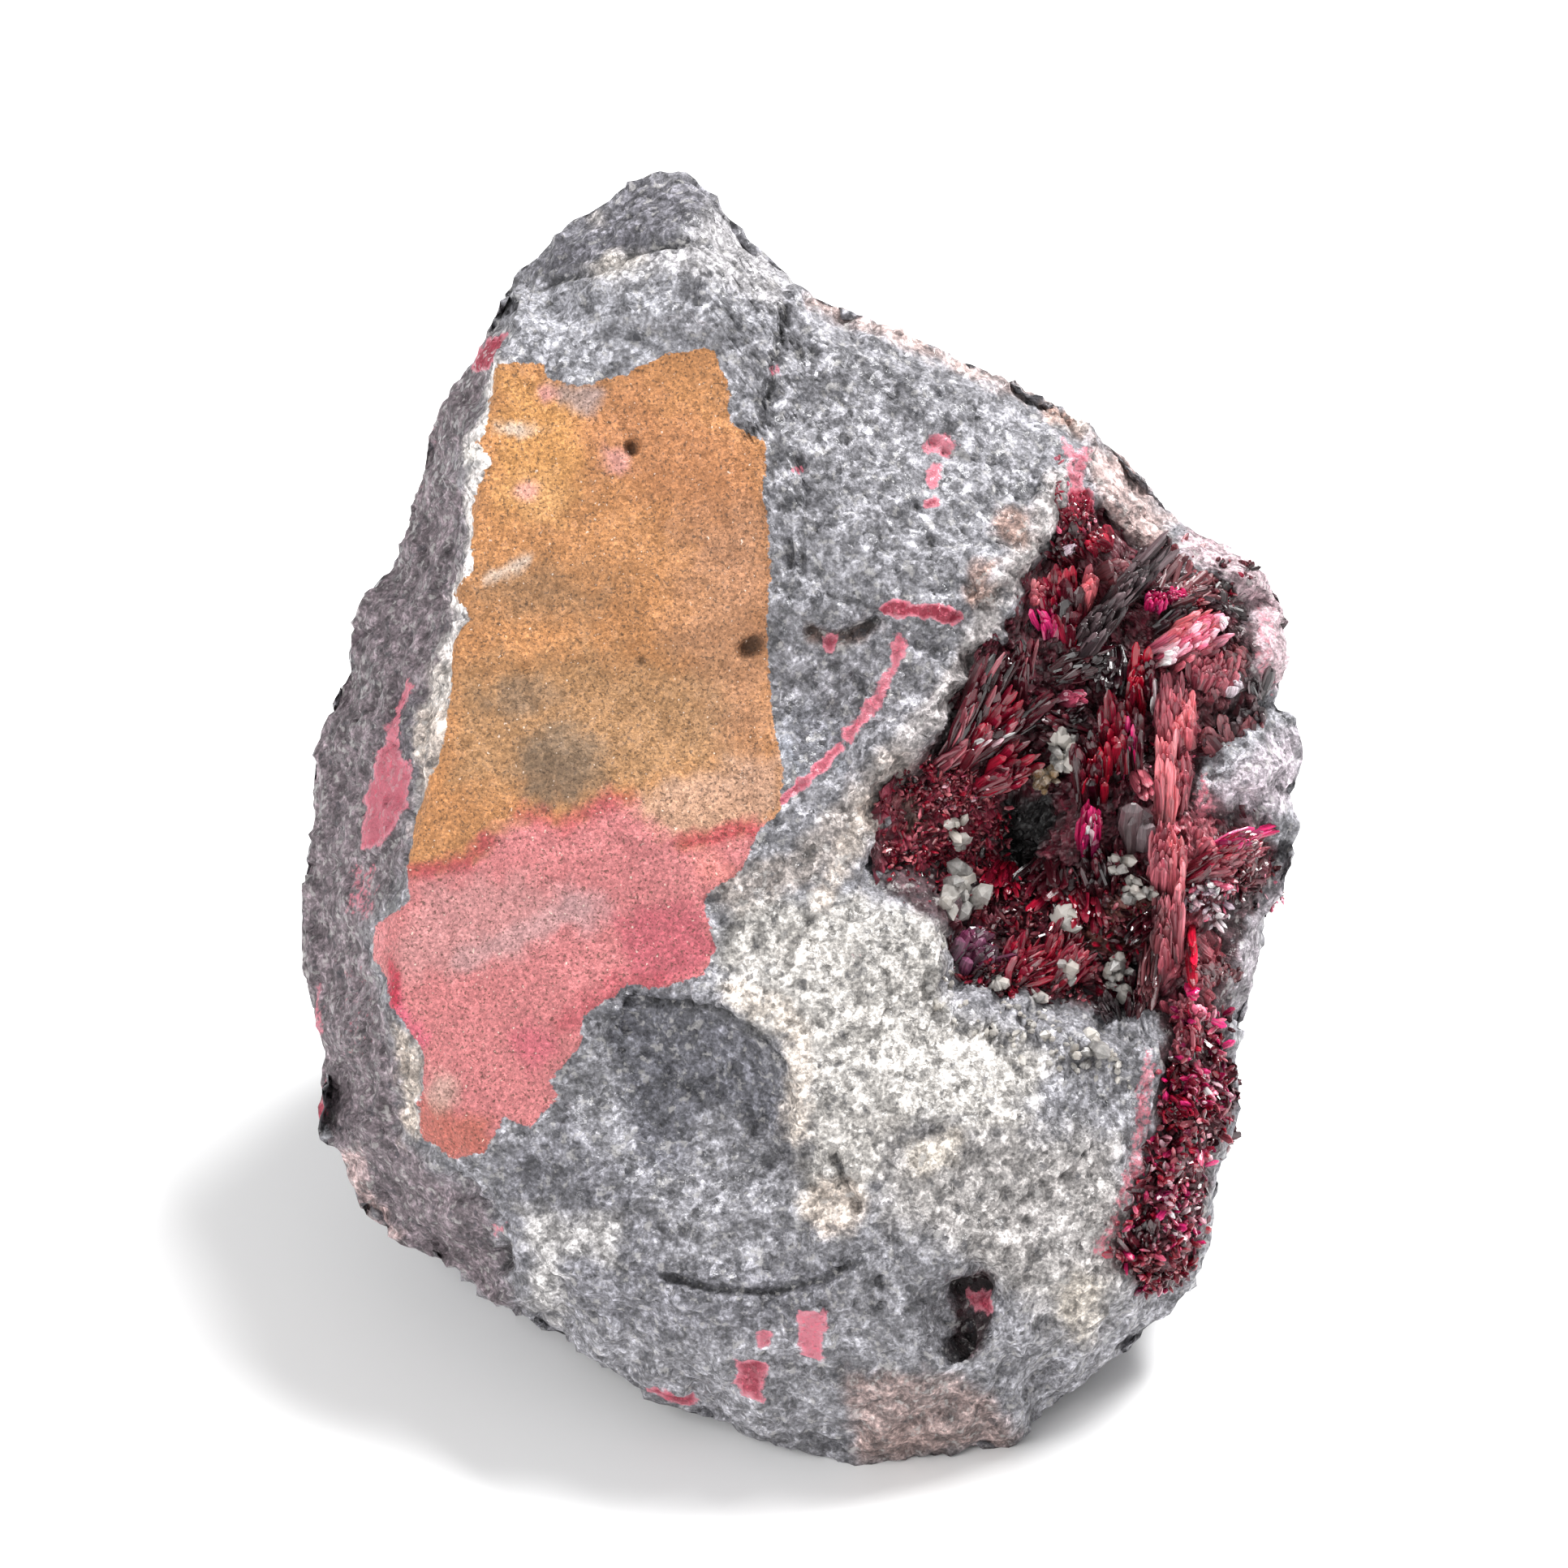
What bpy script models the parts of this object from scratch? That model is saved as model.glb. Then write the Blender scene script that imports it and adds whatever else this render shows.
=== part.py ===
"""Erythrite on matrix: a wedge of grey rock that stands on a flat base, with a crystal-lined hollow.

The rock is one solid, "matrix". The cobalt-bloom crystals that line the hollow and run on down
the right edge grew together, so they are one solid, "erythrite_crust".

The display face is described as the photograph shows it. A landmark is (across, down, depth):
across and down are pixels of the 1932-pixel photograph, and depth is millimetres towards the
viewer. The landmarks are joined by flat facets, as a broken rock is, and the whole is turned into
the part's own frame by the viewing angle.
"""

import itertools
import math

import bmesh
import bpy
import numpy as np
from mathutils import Matrix, Vector
from mathutils.geometry import delaunay_2d_cdt

# Driving dimensions, in millimetres and degrees
FACE_WIDTH = 71.8
VIEW_ELEVATION = 37.0
VIEW_DISTANCE = 650.0
MIDDLE_ABOVE_BASE = 44.5
MIDDLE_ASIDE = -1.0
MIDDLE_BEHIND = -6.5
ROCK_ROUGHNESS = 0.5
ROCK_LUMP_SIZE = 7.0
CRUST_GAP = 0.32
CRUST_DIP = 0.8
CRUST_LUMPS = 0.7
CRUST_LUMP_SIZE = 2.6
VUG_ROOT_DEPTH = 3.5
EDGE_ROOT_DEPTH = 4.3
BLADE_ROOT_DEPTH = 0.6

# A blade's shape: its thickness, and the widths of its root and tip, as shares of its width
BLADE_THINNESS = 0.42
BLADE_ROOT_SHARE = 1.3
BLADE_TIP_SHARE = 0.4

# How far the blades of one spray differ, as shares of the spray's length, rise and width
BLADE_START = (-0.05, 0.25)
BLADE_END = (0.7, 1.0)
BLADE_RISE = (0.6, 1.1)
BLADE_WIDTH = (0.75, 1.25)
BLADE_TWIST_DEG = (-40, 40)

# The crust's lumps fade out towards its outline by this power of the way there
LUMP_FADE_POWER = 6

# Lattice noise: entries in its table of slopes, and the gain that brings it to about -1 to 1
NOISE_ENTRIES = 256
NOISE_GAIN = 1.6

# One seed for each surface or set of blades
ROCK_FRONT_SEED = 1
ROCK_BACK_SEED = 2
VUG_SKIN_SEED = 11
EDGE_SKIN_SEED = 12
VUG_BLADES_SEED = 13
EDGE_BLADES_SEED = 14

# Mesh tolerances, in metres, and how far a sharp point may move as the rock is grown by the gap
SAME_POINT = 1e-6
HEALING_DISTANCE = 2e-6
MOST_SHELL_FACTOR = 2.0

# The mean colour and the roughness of each real surface
ROCK_COLOUR = (0.2, 0.19, 0.19)
ROCK_GLOSS_ROUGHNESS = 0.7
CRYSTAL_COLOUR = (0.22, 0.02, 0.05)
CRYSTAL_GLOSS_ROUGHNESS = 0.3

# How many faces the solids have
ROCK_RINGS = 60
ROCK_SEGMENTS = 150
ROCK_KEPT_SHARE = 0.25
CRUST_RINGS = 20
CRUST_SEGMENTS = 32

# The photograph's frame, in pixels
FACE_LEFT = 372
FACE_RIGHT = 1607
FRAME_MIDDLE = (966, 966)
ROCK_CENTRE = (990, 1010)
MM_PER_PIXEL = FACE_WIDTH / (FACE_RIGHT - FACE_LEFT)

# The rock's outline as it is seen, clockwise from the peak
RIM = (
    (846, 211, -8), (924, 294, -7), (994, 363, -6), (1092, 404, -5), (1186, 445, -5),
    (1267, 480, -6), (1341, 524, -8), (1406, 586, -9), (1450, 643, -9), (1503, 671, -9),
    (1553, 701, -9), (1579, 752, -9), (1584, 816, -9), (1574, 870, -9), (1594, 880, -10),
    (1607, 926, -10), (1594, 979, -10), (1601, 1027, -11), (1578, 1096, -11), (1555, 1129, -11),
    (1550, 1181, -12), (1534, 1253, -13), (1520, 1309, -13), (1530, 1378, -13), (1496, 1447, -13),
    (1492, 1526, -13), (1470, 1588, -13), (1408, 1646, -13), (1340, 1702, -12), (1285, 1740, -11),
    (1247, 1787, -10), (1159, 1789, -9), (1064, 1809, -9), (968, 1783, -9), (884, 1754, -9),
    (811, 1727, -9.5), (752, 1687, -10), (685, 1644, -11), (602, 1601, -13), (564, 1561, -14),
    (484, 1524, -17), (440, 1483, -20), (420, 1422, -18), (392, 1403, -19), (401, 1298, -18),
    (384, 1229, -20), (372, 1106, -20), (386, 1009, -20), (387, 931, -20), (425, 837, -19),
    (448, 731, -18), (482, 702, -18), (511, 612, -17), (537, 514, -16), (584, 445, -15),
    (607, 396, -14), (642, 331, -13), (719, 265, -11), (784, 220, -9),
)

# Landmarks of the face, one group for each plane or hollow of the real rock
FACE = {
    "film plane": (
        (618, 455, -3), (890, 432, -1.5), (948, 700, -0.5), (962, 950, 1), (880, 1100, 1.5),
        (870, 1190, 1), (740, 1240, 0), (700, 1330, -0.5), (600, 1450, -2), (480, 1250, -3),
        (510, 1050, -2.5), (560, 830, -2.5), (590, 600, -3),
    ),
    "left flank": (
        (575, 480, -10), (550, 640, -10), (500, 800, -10.5), (470, 950, -10), (450, 1100, -10),
        (440, 1250, -10), (460, 1400, -10.5), (520, 1490, -10.5), (480, 1440, -11),
        (540, 1500, -8),
    ),
    "peak": (
        (640, 380, -5), (700, 400, -3.5), (800, 380, -1.5), (900, 400, -0.5), (985, 375, -3),
        (740, 300, -6), (800, 240, -6.5), (850, 230, -5.5), (830, 290, -3), (760, 340, -3.5),
        (880, 330, -1.5), (940, 320, -3),
    ),
    "upper right face": (
        (970, 400, -2), (940, 530, -0.5), (1000, 420, -2), (1100, 450, -2), (1200, 490, -2.5),
        (1290, 530, -3.5), (1320, 560, -4), (1100, 600, 0.5), (1200, 620, 0), (1000, 650, 0.5),
        (950, 750, 0), (1100, 740, 1), (1190, 750, 1.2), (1240, 700, 0.8), (1390, 620, -3.5),
    ),
    "step under the crack": (
        (1000, 800, -0.5), (1100, 790, 0.2), (1170, 800, 0.5), (960, 830, -1), (950, 900, -0.5),
        (1050, 850, -0.8), (1020, 900, -0.5),
    ),
    "lip of the vug": (
        (1290, 630, 0), (1235, 750, 1.5), (1180, 840, 2), (1110, 920, 2.5), (1060, 990, 2.2),
        (1000, 1070, 2), (920, 1095, 1.8),
    ),
    "floor of the vug": (
        (1318, 620, -3), (1295, 740, -4.5), (1240, 840, -4.5), (1180, 905, -4),
        (1120, 985, -4.5), (1250, 1035, -10), (1350, 950, -6), (1400, 800, -6), (1400, 700, -5.5),
        (1500, 760, -6.5), (1480, 900, -6), (1450, 1050, -6), (1520, 1060, -7),
        (1300, 1150, -7.5), (1200, 1180, -6), (1380, 1225, -7.5), (1450, 1200, -6),
    ),
    "right rim": (
        (1540, 720, -5), (1570, 800, -5), (1500, 690, -6), (1540, 950, -4), (1580, 940, -7),
        (1510, 985, -4.5), (1530, 1180, -7.5), (1515, 1270, -8.5),
    ),
    "lower face": (
        (1050, 1110, 1.5), (1150, 1150, 1), (1160, 1230, 0.5), (1250, 1260, 0),
        (1340, 1290, -1), (1430, 1290, -3), (1100, 1200, 2.5), (1000, 1180, 2.5),
        (950, 1230, 2.5), (985, 1350, 3), (1100, 1350, 3.5), (1250, 1380, 2),
        (1380, 1400, -1.5), (1390, 1440, -2), (1050, 1500, 3.5), (1200, 1520, 2),
        (1330, 1560, -1), (1380, 1590, -3),
    ),
    "foot": (
        (1100, 1600, 2), (1000, 1610, 2), (1200, 1680, -1), (1100, 1700, -1), (900, 1680, -1),
        (1300, 1650, -4), (1250, 1720, -5.5), (1080, 1760, -4.5), (950, 1740, -4),
        (800, 1640, -2), (850, 1600, 1.5), (700, 1560, 0), (620, 1500, -3), (650, 1600, -5),
        (740, 1650, -5),
    ),
    "dark basin": (
        (740, 1240, 0.5), (860, 1225, 2), (950, 1285, 2.5), (800, 1300, -1.5), (880, 1330, -1),
        (940, 1380, -0.5), (830, 1420, -0.5), (720, 1400, -0.5), (900, 1480, 1.5),
        (760, 1480, 0.5),
    ),
    "edge hollow": (
        (1470, 1260, -6.5), (1470, 1330, -6.5), (1480, 1400, -7.5), (1450, 1480, -6.5),
        (1420, 1550, -6), (1478, 1520, -9),
    ),
    "small cavity": (
        (1165, 1560, 2), (1235, 1550, 1), (1235, 1640, -0.5), (1165, 1690, -1), (1198, 1590, -2),
        (1190, 1650, -3),
    ),
}

# Landmarks of the sides that the photograph doesn't show: (across, up, depth) in millimetres
UNDERSIDE = (
    (5.7, -49.5, -9.6), (-8, -45, -15.6), (-17, -37, -26.2), (-22, -28, -38.1), (-20, -19, -50),
    (0, -16, -54), (20, -18, -51.4), (27, -27, -39.4), (24, -37, -26.2), (15, -46, -14.2),
    (2, -32, -32),
)
BACK = (
    (-26, -8, -40), (-23, 3, -39), (-10, -2, -46), (3, 5, -39), (14, -6, -46), (24, 2, -37),
    (28, -10, -36), (-19, 18, -31), (-6, 17, -34), (8, 21, -27), (24, 15, -27), (-13, 31, -21),
    (1, 29, -20),
)

# The crystal crust: outlines in the photograph, the middle that each is drawn round, and landmarks of
# its surface between the blades. At its outlines the surface dips into the rock.
VUG_CENTRE = (1345, 930)
VUG_OUTLINE = (
    (1322, 590), (1350, 620), (1395, 668), (1440, 690), (1500, 705), (1545, 760), (1552, 840),
    (1540, 890), (1485, 930), (1478, 968), (1540, 1000), (1580, 1050), (1545, 1120),
    (1515, 1200), (1440, 1265), (1380, 1262), (1290, 1240), (1180, 1212), (1165, 1150),
    (1085, 1110), (1070, 1020), (1125, 920), (1190, 845), (1240, 755), (1285, 660),
)
VUG_SURFACE = (
    (1315, 640, -2), (1298, 740, -2.5), (1252, 800, -1.5), (1210, 865, -1.2), (1155, 930, -1.2),
    (1105, 1000, -1.5), (1110, 1080, -1.5), (1180, 1000, -2.5), (1240, 950, -3.5),
    (1250, 1040, -8), (1300, 990, -5), (1320, 850, -4), (1335, 1000, -3.5), (1400, 980, -3.5),
    (1400, 800, -4), (1400, 700, -3.5), (1460, 760, -4), (1520, 760, -5), (1500, 850, -4.5),
    (1460, 900, -4), (1450, 1050, -3.5), (1530, 1040, -5), (1500, 1110, -5.5),
    (1400, 1100, -4.5), (1300, 1100, -5.5), (1200, 1150, -3.5), (1220, 1205, -3),
    (1300, 1200, -4.5), (1375, 1235, -6.5), (1450, 1200, -4), (1480, 1150, -5.5),
)
EDGE_CENTRE = (1465, 1400)
EDGE_OUTLINE = (
    (1480, 1100), (1512, 1190), (1510, 1300), (1518, 1375), (1486, 1440), (1482, 1520),
    (1456, 1585), (1405, 1592), (1362, 1545), (1393, 1480), (1418, 1400), (1430, 1320),
    (1432, 1250), (1440, 1150),
)
EDGE_SURFACE = (
    (1475, 1180, -4), (1470, 1240, -3.8), (1470, 1290, -4), (1468, 1350, -4.4), (1450, 1430, -4.2),
    (1435, 1500, -4), (1412, 1550, -4.4), (1492, 1370, -6.5), (1472, 1450, -6.5),
    (1462, 1540, -7),
)

# Sprays of bladed crystals: root pixel, tip pixel, spread, rise of the tip (mm), width (mm), blades
VUG_SPRAYS = (
    ((1328, 845), (1436, 665), 16, 2.6, 1.5, 6),
    ((1318, 690), (1300, 815), 50, 2.0, 1.4, 5),
    ((1442, 765), (1442, 712), 60, 2.2, 1.1, 4),
    ((1405, 830), (1520, 748), 40, 2.2, 1.4, 6),
    ((1402, 872), (1408, 794), 22, 2.4, 1.1, 3),
    ((1378, 955), (1392, 850), 24, 2.6, 1.2, 4),
    ((1338, 1040), (1350, 905), 20, 3.2, 1.2, 5),
    ((1450, 1000), (1460, 838), 18, 2.6, 1.6, 4),
    ((1190, 925), (1262, 795), 26, 3.0, 1.3, 5),
    ((1120, 1010), (1205, 890), 26, 2.6, 1.3, 5),
    ((1200, 1000), (1300, 870), 40, 3.2, 1.3, 5),
    ((1440, 1090), (1566, 1025), 34, 2.2, 1.4, 7),
    ((1455, 1085), (1440, 1215), 36, 2.6, 1.4, 7),
    ((1385, 1075), (1398, 985), 50, 3.6, 2.1, 3),
    ((1180, 1115), (1250, 1180), 60, 2.6, 2.0, 4),
    ((1350, 1200), (1385, 1262), 70, 2.4, 1.2, 4),
    ((1160, 1050), (1215, 1015), 90, 2.2, 1.3, 4),
    ((1300, 1100), (1318, 1190), 80, 3.0, 1.3, 4),
)
EDGE_SPRAYS = (
    ((1470, 1210), (1480, 1290), 50, 1.6, 1.4, 4),
    ((1475, 1325), (1448, 1390), 70, 1.6, 1.4, 4),
    ((1488, 1400), (1440, 1450), 80, 1.6, 1.5, 4),
    ((1455, 1470), (1455, 1535), 80, 1.6, 1.5, 4),
    ((1425, 1572), (1400, 1510), 80, 1.4, 1.4, 4),
)


def lattice_noise(points, size, seed):
    """Smooth noise of about -1 to 1: a random slope at each corner of a lattice with cells `size` wide,
    blended across the cell."""
    draw = np.random.default_rng(seed)
    order = draw.permutation(NOISE_ENTRIES)
    slopes = draw.normal(size=(NOISE_ENTRIES, 3))
    slopes /= np.linalg.norm(slopes, axis=1, keepdims=True)
    cell = np.floor(points / size).astype(int)
    part = points / size - cell
    fade = part**3 * (part * (part * 6 - 15) + 10)
    total = np.zeros(len(points))
    for corner in itertools.product((0, 1), repeat=3):
        pick = np.zeros(len(points), int)
        for axis in range(3):
            pick = order[(pick + cell[:, axis] + corner[axis]) % NOISE_ENTRIES]
        weight = np.prod(np.where(corner, fade, 1 - fade), axis=1)
        total += weight * np.einsum("ij,ij->i", slopes[pick], part - corner)
    return NOISE_GAIN * total


def to_part_frame(pixels, depth):
    """Photograph pixels and depths in millimetres, to metres in the part's frame: along the line of
    sight of each pixel, as far as the depth says, then tipped back by the viewing elevation."""
    lift = math.radians(VIEW_ELEVATION)
    nearer = 1 - depth / VIEW_DISTANCE
    across = (pixels[:, 0] - FRAME_MIDDLE[0]) * MM_PER_PIXEL * nearer
    up = (FRAME_MIDDLE[1] - pixels[:, 1]) * MM_PER_PIXEL * nearer
    x = MIDDLE_ASIDE + across
    y = MIDDLE_BEHIND + up * math.sin(lift) - depth * math.cos(lift)
    z = MIDDLE_ABOVE_BASE + up * math.cos(lift) + depth * math.sin(lift)
    return np.stack([x, y, z], axis=1) / 1000


def turn_of(first, second):
    """The cross product of flat vectors: twice the area of the triangle that they span."""
    return first[..., 0] * second[..., 1] - first[..., 1] * second[..., 0]


def facet_net(landmarks):
    """A function that gives the depth at any pixel: the landmarks' Delaunay triangles are flat, and
    a pixel takes the plane of the triangle that it is deepest inside."""
    landmarks = np.array(landmarks, float)
    flat = [Vector(point) for point in landmarks[:, :2]]
    made = delaunay_2d_cdt(flat, [], [], 0, SAME_POINT)
    corners = np.array([tuple(point) for point in made[0]])
    source = [came_from[0] for came_from in made[3]]
    heights = landmarks[source, 2]
    faces = np.array(made[2])
    a, b, c = (corners[faces[:, k]] for k in range(3))
    twice_area = turn_of(b - a, c - a)

    def depth_at(pixels):
        apart = pixels[:, None, :]
        share_b = turn_of(apart - a, c - a) / twice_area
        share_c = turn_of(b - a, apart - a) / twice_area
        shares = np.stack([1 - share_b - share_c, share_b, share_c], axis=2)
        best = shares.min(axis=2).argmax(axis=1)
        row = np.arange(len(pixels))
        return (shares[row, best] * heights[faces[best]]).sum(axis=1)

    return depth_at


def reach_of(outline, centre):
    """A function that gives an outline's distance from its centre, in pixels, in any direction."""
    away = np.array(outline, float)[:, :2] - centre
    angle = np.arctan2(-away[:, 1], away[:, 0])
    order = np.argsort(angle)
    length = np.linalg.norm(away, axis=1)
    return lambda around: np.interp(around, angle[order], length[order], period=2 * math.pi)


def relief_solid(name, outline, centre, front, back, rings, segments):
    """A closed solid between two depth functions: a sphere whose front half, with its equator, is
    spread over the outline at the front's depths, and its rear half at the back's."""
    bm = bmesh.new()
    bmesh.ops.create_uvsphere(bm, u_segments=segments, v_segments=rings, radius=1)
    ball = np.array([vert.co for vert in bm.verts])
    around = np.arctan2(ball[:, 1], ball[:, 0])
    polar = np.arccos(np.clip(ball[:, 2], -1, 1))
    share = np.minimum(polar, math.pi - polar) / (math.pi / 2)
    length = share * reach_of(outline, centre)(around)
    heading = np.stack([np.cos(around), -np.sin(around)], axis=1)
    pixels = centre + length[:, None] * heading
    depth = np.where(ball[:, 2] > -SAME_POINT, front(pixels), back(pixels))
    for vert, place in zip(bm.verts, to_part_frame(pixels, depth)):
        vert.co = place
    bmesh.ops.recalc_face_normals(bm, faces=bm.faces)
    mesh = bpy.data.meshes.new(name)
    bm.to_mesh(mesh)
    bm.free()
    return bpy.data.objects.new(name, mesh)


def settle(solid, finish=None):
    """Replaces a solid's mesh with the evaluated one, after `finish` has worked on it in bmesh."""
    graph = bpy.context.evaluated_depsgraph_get()
    bm = bmesh.new()
    bm.from_object(solid, graph)
    bmesh.ops.triangulate(bm, faces=bm.faces)
    if finish:
        finish(bm)
    solid.modifiers.clear()
    bm.to_mesh(solid.data)
    bm.free()


def cut_flat_base(bm):
    """Cuts the rock off level at the height of the base, and closes the cut with one flat face."""
    bmesh.ops.bisect_plane(
        bm, geom=bm.verts[:] + bm.edges[:] + bm.faces[:], dist=SAME_POINT,
        plane_co=(0, 0, 0), plane_no=(0, 0, -1), clear_outer=True,
    )
    open_edges = [edge for edge in bm.edges if edge.is_boundary]
    bmesh.ops.contextual_create(bm, geom=open_edges)
    bmesh.ops.recalc_face_normals(bm, faces=bm.faces)


def keep_largest_piece(bm):
    """Deletes every loose piece but the one with the most faces."""
    unseen = set(bm.faces)
    pieces = []
    while unseen:
        piece = {unseen.pop()}
        growing_at = list(piece)
        while growing_at:
            face = growing_at.pop()
            near = {other for edge in face.edges for other in edge.link_faces} & unseen
            unseen -= near
            piece |= near
            growing_at.extend(near)
        pieces.append(piece)
    pieces.sort(key=len)
    loose = [face for piece in pieces[:-1] for face in piece]
    bmesh.ops.delete(bm, geom=loose, context="FACES")


def finish_of(name, colour, roughness):
    """A plain material with the mean colour of the real surface."""
    material = bpy.data.materials.new(name)
    material.use_nodes = True
    shader = material.node_tree.nodes["Principled BSDF"]
    shader.inputs["Base Color"].default_value = (*colour, 1)
    shader.inputs["Roughness"].default_value = roughness
    return material


def add_blades(sprays, surface, seed):
    """Makes the blades of some sprays. A blade is a flattened four-sided prism that narrows to its
    tip. Its root is sunk in the crust, and its tip stands clear of it."""
    draw = np.random.default_rng(seed)
    for root, tip, spread, rise, width, blades in sprays:
        away = np.array(tip, float) - root
        for k in range(blades):
            turn = math.radians(spread) * ((k + 0.5) / blades - 0.5)
            turned = np.array(Matrix.Rotation(turn, 2) @ Vector(away))
            start = np.array(root) + turned * draw.uniform(*BLADE_START)
            end = np.array(root) + turned * draw.uniform(*BLADE_END)
            pixels = np.array([start, end])
            above = np.array([-BLADE_ROOT_DEPTH, rise * draw.uniform(*BLADE_RISE)])
            low, high = map(Vector, to_part_frame(pixels, surface(pixels) + above))
            along = high - low
            half_width = width * draw.uniform(*BLADE_WIDTH) / 2 / 1000
            twist = math.radians(draw.uniform(*BLADE_TWIST_DEG))
            bm = bmesh.new()
            bmesh.ops.create_cone(
                bm, cap_ends=True, segments=4, radius1=half_width * BLADE_ROOT_SHARE,
                radius2=half_width * BLADE_TIP_SHARE, depth=along.length,
                matrix=(
                    Matrix.Translation((low + high) / 2)
                    @ along.to_track_quat("Z", "Y").to_matrix().to_4x4()
                    @ Matrix.Rotation(twist, 4, "Z")
                    @ Matrix.Diagonal((1, BLADE_THINNESS, 1, 1))
                ),
            )
            mesh = bpy.data.meshes.new("blade")
            bm.to_mesh(mesh)
            bm.free()
            GROWTH.objects.link(bpy.data.objects.new("blade", mesh))


def crust_surface(outline, landmarks):
    """The depth function of the crust between its blades."""
    dips = face_depth(np.array(outline, float)) - CRUST_DIP
    return facet_net([(*point, dip) for point, dip in zip(outline, dips)] + list(landmarks))


def crystal_skin(name, outline, centre, surface, root_depth, seed):
    """A lumpy closed skin on a hollow's floor, with its underside well inside the rock."""
    reach = reach_of(outline, centre)

    def top(pixels):
        away = pixels - centre
        share = np.linalg.norm(away, axis=1) / reach(np.arctan2(-away[:, 1], away[:, 0]))
        place = np.column_stack([pixels * MM_PER_PIXEL, np.zeros(len(pixels))])
        lumps = CRUST_LUMPS * lattice_noise(place, CRUST_LUMP_SIZE, seed)
        return surface(pixels) + (1 - share**LUMP_FADE_POWER) * lumps

    def bottom(pixels):
        return np.minimum(face_depth(pixels), surface(pixels)) - root_depth

    return relief_solid(name, outline, centre, top, bottom, CRUST_RINGS, CRUST_SEGMENTS)


def heal(bm):
    """Merges the points that a Boolean leaves almost on each other, and keeps the largest piece."""
    bmesh.ops.remove_doubles(bm, verts=bm.verts, dist=HEALING_DISTANCE)
    bmesh.ops.dissolve_degenerate(bm, edges=bm.edges, dist=HEALING_DISTANCE)
    bmesh.ops.triangulate(bm, faces=bm.faces)
    keep_largest_piece(bm)


for old in list(bpy.data.objects):
    bpy.data.objects.remove(old)

PARTS = bpy.data.collections.new("erythrite_on_matrix")
CUTTERS = bpy.data.collections.new("cutters")
GROWTH = bpy.data.collections.new("growth joined to the crust")
for group in (PARTS, CUTTERS, GROWTH):
    bpy.context.scene.collection.children.link(group)

# The rock: the face's landmarks in front, the unseen sides behind, one outline for both
face_landmarks = [landmark for group in FACE.values() for landmark in group]
face_depth = facet_net(list(RIM) + face_landmarks)
hidden = [
    (FRAME_MIDDLE[0] + across / MM_PER_PIXEL, FRAME_MIDDLE[1] - up / MM_PER_PIXEL, depth)
    for across, up, depth in UNDERSIDE + BACK
]
back_depth = facet_net(list(RIM) + hidden)


def rough(depth_at, seed):
    """The same depths with the rock's lumps added."""

    def roughened(pixels):
        depth = depth_at(pixels)
        place = np.column_stack([pixels * MM_PER_PIXEL, depth])
        return depth + ROCK_ROUGHNESS * lattice_noise(place, ROCK_LUMP_SIZE, seed)

    return roughened


matrix = relief_solid(
    "matrix", RIM, ROCK_CENTRE, rough(face_depth, ROCK_FRONT_SEED),
    rough(back_depth, ROCK_BACK_SEED), ROCK_RINGS, ROCK_SEGMENTS,
)
PARTS.objects.link(matrix)
thinning = matrix.modifiers.new("Thinning", "DECIMATE")
thinning.ratio = ROCK_KEPT_SHARE
settle(matrix, cut_flat_base)
matrix.data.materials.append(
    finish_of("quartz and skutterudite rock", ROCK_COLOUR, ROCK_GLOSS_ROUGHNESS)
)

# The rock grown by the gap that the crust keeps to it
rock_cutter = bpy.data.objects.new("rock_cutter", matrix.data.copy())
growing = bmesh.new()
growing.from_mesh(rock_cutter.data)
bmesh.ops.triangulate(growing, faces=growing.faces)
growing.normal_update()
grown = [
    vert.co + vert.normal * min(vert.calc_shell_factor(), MOST_SHELL_FACTOR) * CRUST_GAP / 1000
    for vert in growing.verts
]
for vert, place in zip(growing.verts, grown):
    vert.co = place
growing.to_mesh(rock_cutter.data)
growing.free()

# The crust: two skins and all the blades in one, less the rock
vug_surface = crust_surface(VUG_OUTLINE, VUG_SURFACE)
edge_surface = crust_surface(EDGE_OUTLINE, EDGE_SURFACE)
crust = crystal_skin(
    "erythrite_crust", VUG_OUTLINE, VUG_CENTRE, vug_surface, VUG_ROOT_DEPTH, VUG_SKIN_SEED
)
edge_skin = crystal_skin(
    "edge_skin", EDGE_OUTLINE, EDGE_CENTRE, edge_surface, EDGE_ROOT_DEPTH, EDGE_SKIN_SEED
)
PARTS.objects.link(crust)
GROWTH.objects.link(edge_skin)
settle(crust)
settle(edge_skin)
add_blades(VUG_SPRAYS, vug_surface, VUG_BLADES_SEED)
add_blades(EDGE_SPRAYS, edge_surface, EDGE_BLADES_SEED)
CUTTERS.objects.link(rock_cutter)
for cutter in (*GROWTH.objects, rock_cutter):
    cutter.hide_render = True
    cutter.display_type = "WIRE"
joining = crust.modifiers.new("Growth", "BOOLEAN")
joining.operation = "UNION"
joining.operand_type = "COLLECTION"
joining.collection = GROWTH
settle(crust, heal)
clearing = crust.modifiers.new("Rock", "BOOLEAN")
clearing.operation = "DIFFERENCE"
clearing.object = rock_cutter
settle(crust, heal)
crust.data.materials.append(
    finish_of("erythrite crystals", CRYSTAL_COLOUR, CRYSTAL_GLOSS_ROUGHNESS)
)
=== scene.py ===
import itertools
import math

import bpy
import numpy as np
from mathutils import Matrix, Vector
from mathutils.geometry import delaunay_2d_cdt


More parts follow.
